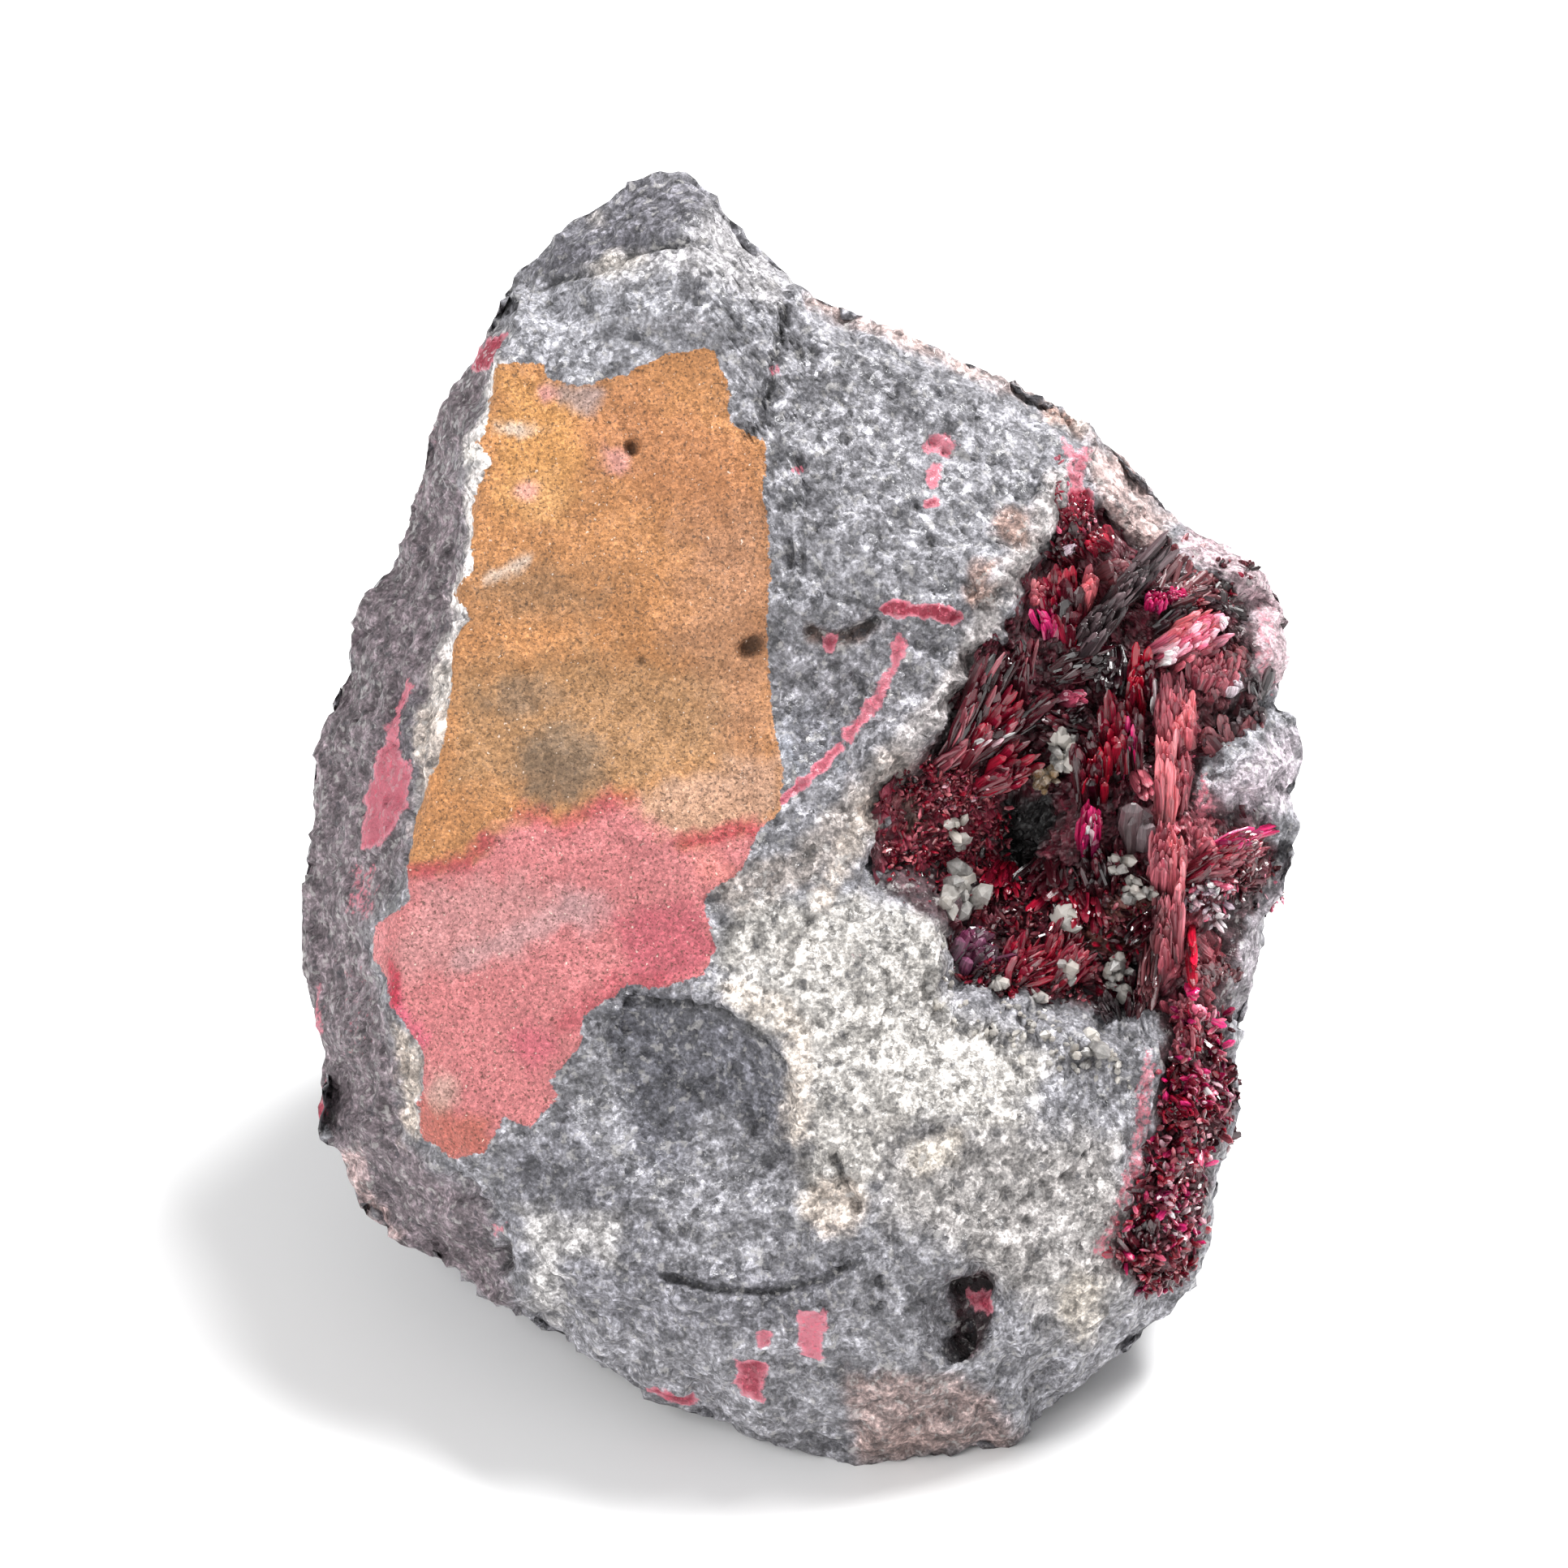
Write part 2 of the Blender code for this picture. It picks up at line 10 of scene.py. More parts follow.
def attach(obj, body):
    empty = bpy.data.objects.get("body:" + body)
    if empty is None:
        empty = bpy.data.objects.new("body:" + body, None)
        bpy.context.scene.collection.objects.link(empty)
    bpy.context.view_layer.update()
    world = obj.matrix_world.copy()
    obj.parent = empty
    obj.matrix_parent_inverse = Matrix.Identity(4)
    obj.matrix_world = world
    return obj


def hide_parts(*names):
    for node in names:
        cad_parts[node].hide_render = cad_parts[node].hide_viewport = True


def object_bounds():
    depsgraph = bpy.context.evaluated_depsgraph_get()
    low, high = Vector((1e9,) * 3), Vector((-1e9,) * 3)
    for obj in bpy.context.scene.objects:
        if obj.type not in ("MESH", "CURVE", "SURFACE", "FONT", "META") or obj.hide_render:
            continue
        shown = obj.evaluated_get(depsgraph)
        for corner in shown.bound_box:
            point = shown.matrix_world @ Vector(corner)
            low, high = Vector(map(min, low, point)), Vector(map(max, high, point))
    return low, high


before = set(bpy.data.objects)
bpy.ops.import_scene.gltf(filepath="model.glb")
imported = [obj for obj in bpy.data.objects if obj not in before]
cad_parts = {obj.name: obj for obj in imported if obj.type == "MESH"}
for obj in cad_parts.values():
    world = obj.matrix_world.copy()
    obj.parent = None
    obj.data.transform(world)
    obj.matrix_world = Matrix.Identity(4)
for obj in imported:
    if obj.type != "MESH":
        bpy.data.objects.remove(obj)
cad_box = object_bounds()

# The view. The specimen is seen from the front and from well above, by a long lens. Places on it are
# read off the photograph, (across, down) in pixels, with a depth in millimetres towards the viewer,
# and are turned into the part's frame along the line of sight of each pixel.
FRAME_PIXELS = 1932
FRAME_MIDDLE = np.array([966.0, 966.0])
MM_PER_PIXEL = 71.8 / (1607 - 372)
VIEW_ELEVATION = math.radians(37.0)
VIEW_DISTANCE = 650.0
VIEW_TARGET = np.array([-1.0, -6.5, 44.5])
SENSOR_MM = 36.0
TOWARDS_VIEWER = np.array([0.0, -math.cos(VIEW_ELEVATION), math.sin(VIEW_ELEVATION)])
UP_IN_VIEW = np.array([0.0, math.sin(VIEW_ELEVATION), math.cos(VIEW_ELEVATION)])


def to_part_frame(pixels, depth):
    """Photograph pixels and depths in millimetres, to metres in the part's frame: the offset from the
    view's middle, shrunk by 1 - depth / distance, plus the depth along the direction to the viewer."""
    nearer = (1 - depth / VIEW_DISTANCE) * MM_PER_PIXEL
    across = (pixels[:, 0] - FRAME_MIDDLE[0]) * nearer
    up = (FRAME_MIDDLE[1] - pixels[:, 1]) * nearer
    place = VIEW_TARGET + up[:, None] * UP_IN_VIEW + depth[:, None] * TOWARDS_VIEWER
    place[:, 0] += across
    return place / 1000


camera_data = bpy.data.cameras.new("photograph view")
camera_data.sensor_width = SENSOR_MM
camera_data.lens = SENSOR_MM * VIEW_DISTANCE / (FRAME_PIXELS * MM_PER_PIXEL)
camera = bpy.data.objects.new("photograph view", camera_data)
bpy.context.scene.collection.objects.link(camera)
camera.location = (VIEW_TARGET + VIEW_DISTANCE * TOWARDS_VIEWER) / 1000
camera.rotation_euler = Vector(-TOWARDS_VIEWER).to_track_quat("-Z", "Y").to_euler()
bpy.context.scene.camera = camera
bpy.context.scene.view_settings.view_transform = "Standard"

# The rock: one broken wedge of fine-grained quartz and dark cobalt ore, with thin mineral films on
# two of its planes. It broke along facets, so its form is a net of flat facets between landmarks,
# with cleaved lumps of several sizes on them. It replaces the plain solid of the same landmarks.
ROCK_CELLS = 127
FRONT_SHARE_ANGLE = math.radians(122)
ROCK_CENTRE = np.array([990.0, 1010.0])
ROCK_ROUGHNESS = 0.5
ROCK_LUMP_SIZE = 7.0
CREASE_WANDER = ((15, 4.0, 31), (6, 1.4, 33))
RIM = (
    (846, 211, -8), (924, 294, -7), (994, 363, -6), (1092, 404, -5), (1186, 445, -5),
    (1267, 480, -6), (1341, 524, -8), (1406, 586, -9), (1450, 643, -9), (1503, 671, -9),
    (1553, 701, -9), (1579, 752, -9), (1584, 816, -9), (1574, 870, -9), (1594, 880, -10),
    (1607, 926, -10), (1594, 979, -10), (1601, 1027, -11), (1578, 1096, -11), (1555, 1129, -11),
    (1550, 1181, -12), (1534, 1253, -13), (1520, 1309, -13), (1530, 1378, -13), (1496, 1447, -13),
    (1492, 1526, -13), (1470, 1588, -13), (1408, 1646, -13), (1340, 1702, -12), (1285, 1740, -11),
    (1247, 1787, -10), (1159, 1789, -9), (1064, 1809, -9), (968, 1783, -9), (884, 1754, -9),
    (811, 1727, -9.5), (752, 1687, -10), (685, 1644, -11), (602, 1601, -13), (564, 1561, -14),
    (484, 1524, -17), (440, 1483, -20), (420, 1422, -18), (392, 1403, -19), (401, 1298, -18),
    (384, 1229, -20), (372, 1106, -20), (386, 1009, -20), (387, 931, -20), (425, 837, -19),
    (448, 731, -18), (482, 702, -18), (511, 612, -17), (537, 514, -16), (584, 445, -15),
    (607, 396, -14), (642, 331, -13), (719, 265, -11), (784, 220, -9),
)
FACE = {
    "film plane": (
        (618, 455, -3), (890, 432, -1.5), (948, 700, -0.5), (962, 950, 1), (880, 1100, 1.5),
        (870, 1190, 1), (740, 1240, 0), (700, 1330, -0.5), (600, 1450, -2), (480, 1250, -3),
        (510, 1050, -2.5), (560, 830, -2.5), (590, 600, -3),
    ),
    "left flank": (
        (575, 480, -10), (550, 640, -10), (500, 800, -10.5), (470, 950, -10), (450, 1100, -10),
        (440, 1250, -10), (460, 1400, -10.5), (520, 1490, -10.5), (480, 1440, -11),
        (540, 1500, -8),
    ),
    "peak": (
        (640, 380, -5), (700, 400, -3.5), (800, 380, -1.5), (900, 400, -0.5), (985, 375, -3),
        (740, 300, -6), (800, 240, -6.5), (850, 230, -5.5), (830, 290, -3), (760, 340, -3.5),
        (880, 330, -1.5), (940, 320, -3),
    ),
    "upper right face": (
        (970, 400, -2), (940, 530, -0.5), (1000, 420, -2), (1100, 450, -2), (1200, 490, -2.5),
        (1290, 530, -3.5), (1320, 560, -4), (1100, 600, 0.5), (1200, 620, 0), (1000, 650, 0.5),
        (950, 750, 0), (1100, 740, 1), (1190, 750, 1.2), (1240, 700, 0.8), (1390, 620, -3.5),
    ),
    "step under the crack": (
        (1000, 800, -0.5), (1100, 790, 0.2), (1170, 800, 0.5), (960, 830, -1), (950, 900, -0.5),
        (1050, 850, -0.8), (1020, 900, -0.5),
    ),
    "lip of the vug": (
        (1290, 630, 0), (1235, 750, 1.5), (1180, 840, 2), (1110, 920, 2.5), (1060, 990, 2.2),
        (1000, 1070, 2), (920, 1095, 1.8),
    ),
    "floor of the vug": (
        (1318, 620, -3), (1295, 740, -4.5), (1240, 840, -4.5), (1180, 905, -4),
        (1120, 985, -4.5), (1250, 1035, -10), (1350, 950, -6), (1400, 800, -6), (1400, 700, -5.5),
        (1500, 760, -6.5), (1480, 900, -6), (1450, 1050, -6), (1520, 1060, -7),
        (1300, 1150, -7.5), (1200, 1180, -6), (1380, 1225, -7.5), (1450, 1200, -6),
    ),
    "right rim": (
        (1540, 720, -5), (1570, 800, -5), (1500, 690, -6), (1540, 950, -4), (1580, 940, -7),
        (1510, 985, -4.5), (1530, 1180, -7.5), (1515, 1270, -8.5),
    ),
    "lower face": (
        (1050, 1110, 1.5), (1150, 1150, 1), (1160, 1230, 0.5), (1250, 1260, 0),
        (1340, 1290, -1), (1430, 1290, -3), (1100, 1200, 2.5), (1000, 1180, 2.5),
        (950, 1230, 2.5), (985, 1350, 3), (1100, 1350, 3.5), (1250, 1380, 2),
        (1380, 1400, -1.5), (1390, 1440, -2), (1050, 1500, 3.5), (1200, 1520, 2),
        (1330, 1560, -1), (1380, 1590, -3),
    ),
    "foot": (
        (1100, 1600, 2), (1000, 1610, 2), (1200, 1680, -1), (1100, 1700, -1), (900, 1680, -1),
        (1300, 1650, -4), (1250, 1720, -5.5), (1080, 1760, -4.5), (950, 1740, -4),
        (800, 1640, -2), (850, 1600, 1.5), (700, 1560, 0), (620, 1500, -3), (650, 1600, -5),
        (740, 1650, -5),
    ),
    "dark basin": (
        (740, 1240, 0.5), (860, 1225, 2), (950, 1285, 2.5), (800, 1300, -1.5), (880, 1330, -1),
        (940, 1380, -0.5), (830, 1420, -0.5), (720, 1400, -0.5), (900, 1480, 1.5),
        (760, 1480, 0.5),
    ),
    "edge hollow": (
        (1470, 1260, -6.5), (1470, 1330, -6.5), (1480, 1400, -7.5), (1450, 1480, -6.5),
        (1420, 1550, -6), (1478, 1520, -9),
    ),
    "small cavity": (
        (1165, 1560, 2), (1235, 1550, 1), (1235, 1640, -0.5), (1165, 1690, -1), (1198, 1590, -2),
        (1190, 1650, -3),
    ),
}
UNDERSIDE = (
    (5.7, -49.5, -9.6), (-8, -45, -15.6), (-17, -37, -26.2), (-22, -28, -38.1), (-20, -19, -50),
    (0, -16, -54), (20, -18, -51.4), (27, -27, -39.4), (24, -37, -26.2), (15, -46, -14.2),
    (2, -32, -32),
)
BACK = (
    (-26, -8, -40), (-23, 3, -39), (-10, -2, -46), (3, 5, -39), (14, -6, -46), (24, 2, -37),
    (28, -10, -36), (-19, 18, -31), (-6, 17, -34), (8, 21, -27), (24, 15, -27), (-13, 31, -21),
    (1, 29, -20),
)


def lattice_noise(points, size, seed):
    """Smooth noise of about -1 to 1: a random slope at each corner of a lattice with cells `size` wide,
    times the distance from that corner, blended across the cell by 6 t^5 - 15 t^4 + 10 t^3."""
    draw = np.random.default_rng(seed)
    order = draw.permutation(256)
    slopes = draw.normal(size=(256, 3))
    slopes /= np.linalg.norm(slopes, axis=1, keepdims=True)
    cell = np.floor(points / size).astype(int)
    part = points / size - cell
    fade = part**3 * (part * (part * 6 - 15) + 10)
    total = np.zeros(len(points))
    for corner in itertools.product((0, 1), repeat=3):
        pick = np.zeros(len(points), int)
        for axis in range(3):
            pick = order[(pick + cell[:, axis] + corner[axis]) % 256]
        weight = np.prod(np.where(corner, fade, 1 - fade), axis=1)
        total += weight * np.einsum("ij,ij->i", slopes[pick], part - corner)
    return 1.6 * total


def cleaved(points, size, seed, tilt=1.0):
    """Broken facets of about -1 to 1: each point belongs to the nearest of a set of scattered seeds,
    one in each cell of a lattice, and takes that seed's random height plus its random slope times
    the offset from it. Also gives a random number from 0 to 1 for each facet."""
    draw = np.random.default_rng(seed)
    order = draw.permutation(256)
    jitter = draw.random((256, 3))
    slopes = draw.normal(size=(256, 3)) * tilt
    heights = draw.uniform(-0.5, 0.5, 256)
    cell = np.floor(points / size).astype(int)
    part = points / size - cell
    nearest = np.full(len(points), np.inf)
    value = np.zeros(len(points))
    facet = np.zeros(len(points))
    for corner in itertools.product((-1, 0, 1), repeat=3):
        pick = np.zeros(len(points), int)
        for axis in range(3):
            pick = order[(pick + cell[:, axis] + corner[axis]) % 256]
        offset = part - corner - jitter[pick]
        away = np.einsum("ij,ij->i", offset, offset)
        near = away < nearest
        nearest = np.where(near, away, nearest)
        value = np.where(near, heights[pick] + np.einsum("ij,ij->i", slopes[pick], offset), value)
        facet = np.where(near, pick / 256, facet)
    return value, facet


def turn_of(first, second):
    """The cross product of flat vectors: twice the area of the triangle that they span."""
    return first[..., 0] * second[..., 1] - first[..., 1] * second[..., 0]


def facet_net(landmarks):
    """A function that gives the depth at any pixel: the landmarks' Delaunay triangles are flat, and
    a pixel takes the plane of the triangle that it is deepest inside, by its least corner share."""
    landmarks = np.array(landmarks, float)
    made = delaunay_2d_cdt([Vector(point) for point in landmarks[:, :2]], [], [], 0, 1e-6)
    corners = np.array([tuple(point) for point in made[0]])
    heights = landmarks[[came_from[0] for came_from in made[3]], 2]
    faces = np.array(made[2])
    a, b, c = (corners[faces[:, k]] for k in range(3))
    twice_area = turn_of(b - a, c - a)

    def depth_of(pixels):
        apart = pixels[:, None, :]
        share_b = turn_of(apart - a, c - a) / twice_area
        share_c = turn_of(b - a, apart - a) / twice_area
        shares = np.stack([1 - share_b - share_c, share_b, share_c], axis=2)
        best = shares.min(axis=2).argmax(axis=1)
        return (shares[np.arange(len(pixels)), best] * heights[faces[best]]).sum(axis=1)

    def depth_at(pixels):
        batches = np.array_split(pixels, len(pixels) // 4000 + 1)
        return np.concatenate([depth_of(batch) for batch in batches])

    return depth_at


def reach_of(outline, centre):
    """A function that gives an outline's distance from its centre, in pixels, in any direction."""
    away = np.array(outline, float)[:, :2] - centre
    angle = np.arctan2(-away[:, 1], away[:, 0])
    order = np.argsort(angle)
    length = np.linalg.norm(away, axis=1)
    return lambda around: np.interp(around, angle[order], length[order], period=2 * math.pi)


def ball_grid(cells):
    """Points on a ball of radius 1 and the quads that join them: a square grid on each face of a cube,
    its lines spread by equal angles, pushed out to the ball. Points that two faces share are one."""
    side = np.tan(np.linspace(-math.pi / 4, math.pi / 4, cells + 1))
    u, v = (sheet.ravel() for sheet in np.meshgrid(side, side, indexing="ij"))
    one = np.ones_like(u)
    sheets = [(one, u, v), (-one, v, u), (v, one, u), (u, -one, v), (u, v, one), (v, u, -one)]
    points = np.concatenate([np.stack(sheet, axis=1) for sheet in sheets])
    points /= np.linalg.norm(points, axis=1, keepdims=True)
    corner = np.arange((cells + 1) ** 2).reshape(cells + 1, cells + 1)
    quad = np.stack([corner[:-1, :-1], corner[1:, :-1], corner[1:, 1:], corner[:-1, 1:]], axis=-1)
    quads = np.concatenate([quad.reshape(-1, 4) + k * corner.size for k in range(6)])
    _, first, index = np.unique(np.round(points, 6), axis=0, return_index=True, return_inverse=True)
    return points[first], index.ravel()[quads]


def relief_points(ball, outline, centre, front, back, front_angle):
    """Where a ball's points go on a closed relief, and their pixels: the cap within front_angle of the
    viewer's pole is spread over the outline at the front's depths, with radius sin(a/2) over
    sin(front_angle/2), which keeps areas even, and the rest over it at the back's depths."""
    around = np.arctan2(ball[:, 1], ball[:, 0])
    polar = np.arccos(np.clip(ball[:, 2], -1, 1))
    is_front = polar <= front_angle
    share = np.where(
        is_front, np.sin(polar / 2) / math.sin(front_angle / 2),
        np.cos(polar / 2) / math.cos(front_angle / 2),
    )
    heading = np.stack([np.cos(around), -np.sin(around)], axis=1)
    pixels = centre + (share * reach_of(outline, centre)(around))[:, None] * heading
    depth = np.empty(len(ball))
    depth[is_front] = front(pixels[is_front])
    depth[~is_front] = back(pixels[~is_front])
    return to_part_frame(pixels, depth) * 1000, pixels, is_front


def normals_of(points, quads):
    """Outward direction at each point: the sum of the areas of the quads round it, each from the cross
    product of its diagonals."""
    a, b, c, d = (points[quads[:, k]] for k in range(4))
    area = np.cross(c - a, d - b)
    total = np.stack([
        np.bincount(quads.ravel(), np.repeat(area[:, axis], 4), len(points)) for axis in range(3)
    ], axis=1)
    return total / np.maximum(np.linalg.norm(total, axis=1, keepdims=True), 1e-12)


def mesh_piece(name, points, face_groups, colours=(), numbers=(), vectors=(), smooth=False):
    """An object from whole arrays: points in millimetres, groups of faces with equally many corners,
    and named attributes of the points: linear colours, numbers and vectors."""
    mesh = bpy.data.meshes.new(name)
    corners = np.concatenate([group.ravel() for group in face_groups])
    sizes = np.concatenate([np.full(len(group), group.shape[1]) for group in face_groups])
    mesh.vertices.add(len(points))
    mesh.vertices.foreach_set("co", (points / 1000).astype(np.float32).ravel())
    mesh.loops.add(len(corners))
    mesh.loops.foreach_set("vertex_index", corners.astype(np.int32))
    mesh.polygons.add(len(sizes))
    mesh.polygons.foreach_set("loop_start", (np.cumsum(sizes) - sizes).astype(np.int32))
    mesh.polygons.foreach_set("use_smooth", np.full(len(sizes), smooth))
    mesh.update(calc_edges=True)
    for key, rgb in dict(colours).items():
        rgba = np.column_stack([rgb, np.ones(len(rgb))]).astype(np.float32)
        mesh.attributes.new(key, "FLOAT_COLOR", "POINT").data.foreach_set("color", rgba.ravel())
    for key, value in dict(numbers).items():
        made = mesh.attributes.new(key, "FLOAT", "POINT")
        made.data.foreach_set("value", np.asarray(value, np.float32))
    for key, vector in dict(vectors).items():
        made = mesh.attributes.new(key, "FLOAT_VECTOR", "POINT")
        made.data.foreach_set("vector", np.asarray(vector, np.float32).ravel())
    piece = bpy.data.objects.new(name, mesh)
    bpy.context.scene.collection.objects.link(piece)
    return piece


def area(*points):
    """A closed outline's signed distance in millimetres, positive inside: the least distance to its
    edges, with the sign from how many of them a level line to the right crosses."""
    start = np.array(points, float)
    step = np.roll(start, -1, axis=0) - start

    def distance_at(pixels):
        away = pixels[:, None, :] - start
        along = np.clip((away * step).sum(axis=2) / (step**2).sum(axis=1), 0, 1)
        least = np.linalg.norm(away - along[..., None] * step, axis=2).min(axis=1)
        low = away[..., 1] >= 0
        high = away[..., 1] < step[:, 1]
        upward = low & high & (turn_of(step, away) < 0)
        downward = ~low & ~high & (turn_of(step, away) > 0)
        inside = (upward.sum(axis=1) + downward.sum(axis=1)) % 2 == 1
        return np.where(inside, least, -least) * MM_PER_PIXEL

    return distance_at


def patch(across, down, wide, high, turn=0):
    """An ellipse's signed distance in millimetres, about: (1 - r) times its smaller half-width, where r
    is 1 on the ellipse."""
    angle = math.radians(turn)
    axes = np.array([[math.cos(angle), -math.sin(angle)], [math.sin(angle), math.cos(angle)]])

    def distance_at(pixels):
        turned = (pixels - (across, down)) @ axes.T
        radius = np.linalg.norm(turned / (wide, high), axis=1)
        return (1 - radius) * min(wide, high) * MM_PER_PIXEL

    return distance_at


def stroke(half_width, *points):
    """An open line's signed distance in millimetres: its half-width less the distance to it."""
    start = np.array(points[:-1], float)
    step = np.array(points[1:], float) - start

    def distance_at(pixels):
        away = pixels[:, None, :] - start
        along = np.clip((away * step).sum(axis=2) / (step**2).sum(axis=1), 0, 1)
        least = np.linalg.norm(away - along[..., None] * step, axis=2).min(axis=1)
        return (half_width - least) * MM_PER_PIXEL

    return distance_at


def smooth_step(low, high, value):
    """0 below low, 1 above high, and 3 t^2 - 2 t^3 between."""
    t = np.clip((value - low) / (high - low), 0, 1)
    return t * t * (3 - 2 * t)


face_depth = facet_net(list(RIM) + [landmark for group in FACE.values() for landmark in group])
back_depth = facet_net(list(RIM) + [
    (FRAME_MIDDLE[0] + across / MM_PER_PIXEL, FRAME_MIDDLE[1] - up / MM_PER_PIXEL, depth)
    for across, up, depth in UNDERSIDE + BACK
])


def broken(depth_at, seed):
    """The depths of a facet net whose creases wander: the pixel is moved by noise before its depth is
    read, and the rock's lumps are added."""

    def depth(pixels):
        flat = np.column_stack([pixels * MM_PER_PIXEL, np.zeros(len(pixels))])
        moved = pixels.copy()
        for reach, size, first_seed in CREASE_WANDER:
            for axis in range(2):
                moved[:, axis] += reach * lattice_noise(flat, size, first_seed + axis)
        plain = depth_at(pixels)
        place = np.column_stack([pixels * MM_PER_PIXEL, plain])
        return depth_at(moved) + ROCK_ROUGHNESS * lattice_noise(place, ROCK_LUMP_SIZE, seed)

    return depth


ball, rock_quads = ball_grid(ROCK_CELLS)
rock_base, rock_pixels, rock_front = relief_points(
    ball, RIM, ROCK_CENTRE, broken(face_depth, 1), broken(back_depth, 2), FRONT_SHARE_ANGLE
)
rock_normals = normals_of(rock_base, rock_quads)

# Where the rock's outer films and its kinds of stone lie on the display face, and the left flank that takes
# painted shade
FILM_OUTLINE = area(
    (611, 451), (638, 445), (670, 449), (674, 465), (711, 478), (772, 461), (821, 437), (874, 427),
    (886, 445), (899, 486), (899, 522), (944, 543), (940, 608), (948, 649), (948, 710), (945, 800),
    (952, 880), (965, 950), (962, 1000), (938, 1020), (911, 1074), (866, 1107), (882, 1168),
    (866, 1204), (809, 1217), (772, 1213), (719, 1253), (715, 1286), (678, 1331), (687, 1351),
    (654, 1392), (621, 1376), (597, 1420), (560, 1425), (520, 1400), (523, 1298), (503, 1266),
    (482, 1241), (482, 1213), (462, 1180), (462, 1143), (507, 1107), (503, 1074), (515, 1000),
    (540, 940), (556, 870), (556, 792), (580, 759), (560, 731), (584, 702), (580, 669), (589, 608),
    (605, 567), (590, 547), (605, 506),
)
ROSE_OUTLINE = area(
    (975, 1000), (930, 1022), (842, 1041), (790, 1005), (752, 985), (699, 1012), (640, 1003),
    (576, 1062), (511, 1074), (440, 1080), (440, 1440), (700, 1440), (760, 1260), (900, 1240),
    (960, 1100),
)
FLANK_SHADE_OUTLINE = area(
    (600, 380), (618, 440), (600, 470), (596, 520), (570, 560), (585, 620), (572, 700), (560, 790),
    (548, 850), (522, 930), (508, 1010), (500, 1080), (455, 1140), (455, 1190), (480, 1260),
    (497, 1310), (500, 1400), (540, 1440), (600, 1480), (640, 1640), (300, 1560), (300, 900),
    (480, 420),
)
film_distance = np.full(len(ball), -9.0)
film_distance[rock_front] = FILM_OUTLINE(rock_pixels[rock_front])
film = smooth_step(-0.12, 0.12, film_distance + 0.18 * lattice_noise(rock_base, 0.8, 41))

# Lumps and pits: cleaved facets in four sizes, gentler on the filmed planes, and the photograph's
# own holes and cracks
COARSE_SIZE, COARSE_HEIGHT = 4.2, 0.26
MIDDLE_SIZE, MIDDLE_HEIGHT = 1.9, 0.17
FINE_SIZE, FINE_HEIGHT = 0.85, 0.1
GRIT_SIZE, GRIT_HEIGHT = 0.45, 0.035
FILM_CALM = 0.72
FILM_THICKNESS = 0.14
coarse, _ = cleaved(rock_base, COARSE_SIZE, 51)
middle, _ = cleaved(rock_base, MIDDLE_SIZE, 52)
fine, _ = cleaved(rock_base, FINE_SIZE, 53)
grit = lattice_noise(rock_base, GRIT_SIZE, 54)
calm = 1 - FILM_CALM * film
lumps = COARSE_HEIGHT * coarse + MIDDLE_HEIGHT * middle + FINE_HEIGHT * fine
lift = calm * lumps + GRIT_HEIGHT * grit + FILM_THICKNESS * film
PITS = (
    (778, 552, 9, 10, 0, 0.9), (927, 797, 17, 12, 30, 0.9), (972, 682, 6, 20, 0, 0.8),
    (990, 690, 4, 16, 0, 0.5), (986, 571, 9, 12, 0, 0.5), (1150, 545, 8, 7, 0, 0.6),
    (1167, 557, 7, 6, 0, 0.6), (1131, 624, 6, 6, 0, 0.6), (985, 430, 5, 18, 10, 0.5),
    (618, 1550, 9, 18, -10, 0.9), (731, 1620, 6, 5, 0, 0.5), (1085, 1582, 9, 8, 0, 0.8),
    (1087, 1611, 7, 6, 0, 0.6), (1075, 1600, 6, 9, 0, 0.6), (995, 1770, 12, 4, 0, 0.4),
    (1000, 372, 9, 5, 0, 0.5), (790, 814, 5, 5, 0, 0.35), (1232, 730, 8, 8, 0, 0.4),
    (1188, 1652, 8, 22, -20, 1.2), (1197, 1590, 22, 12, 0, 1.0),
)
CRACKS = (
    (5, 0.9, ((968, 385), (958, 430), (949, 480), (938, 520), (921, 536))),
    (5, 0.8, ((1027, 1424), (1040, 1455), (1056, 1490))),
    (4, 0.5, ((681, 347), (742, 333), (800, 303), (860, 295))),
    (6, 0.9, ((1357, 633), (1370, 662), (1388, 688))),
    (7, 0.6, ((1000, 778), (1022, 786), (1055, 780), (1079, 768))),
    (5, 0.5, ((819, 1572), (880, 1590), (950, 1592), (1010, 1578), (1048, 1560))),
    (5, 0.5, ((770, 1237), (840, 1238), (890, 1246), (935, 1275), (962, 1310))),
    (5, 0.5, ((1310, 505), (1322, 535))),
)
# Painted shade: each pit and crack also gives a mask by which the rock's and the films' colours are darkened
# below
crevice_shade = np.zeros(len(ball))
for across, down, wide, high, turn, depth in PITS:
    hole = smooth_step(-0.25, 0.3, patch(across, down, wide, high, turn)(rock_pixels)) * rock_front
    lift -= depth * hole
    crevice_shade = np.maximum(crevice_shade, hole)
for half_width, depth, points in CRACKS:
    cut = stroke(half_width, *points)(rock_pixels) + 0.12 * lattice_noise(rock_base, 0.7, 42)
    hole = smooth_step(-0.25, 0.25, cut) * rock_front
    lift -= depth * hole
    crevice_shade = np.maximum(crevice_shade, hole)

rock_points = rock_base + rock_normals * lift[:, None]
rock_points = np.clip(rock_points, np.array(cad_box[0]) * 1000, np.array(cad_box[1]) * 1000)


def linear(hex_colour):
    """An sRGB hex colour as linear red, green and blue: ((c + 0.055) / 1.055) to the power 2.4, or
    c / 12.92 below 0.04045."""
    channel = np.array([int(hex_colour[k:k + 2], 16) for k in (1, 3, 5)]) / 255
    return np.where(channel < 0.04045, channel / 12.92, ((channel + 0.055) / 1.055) ** 2.4)


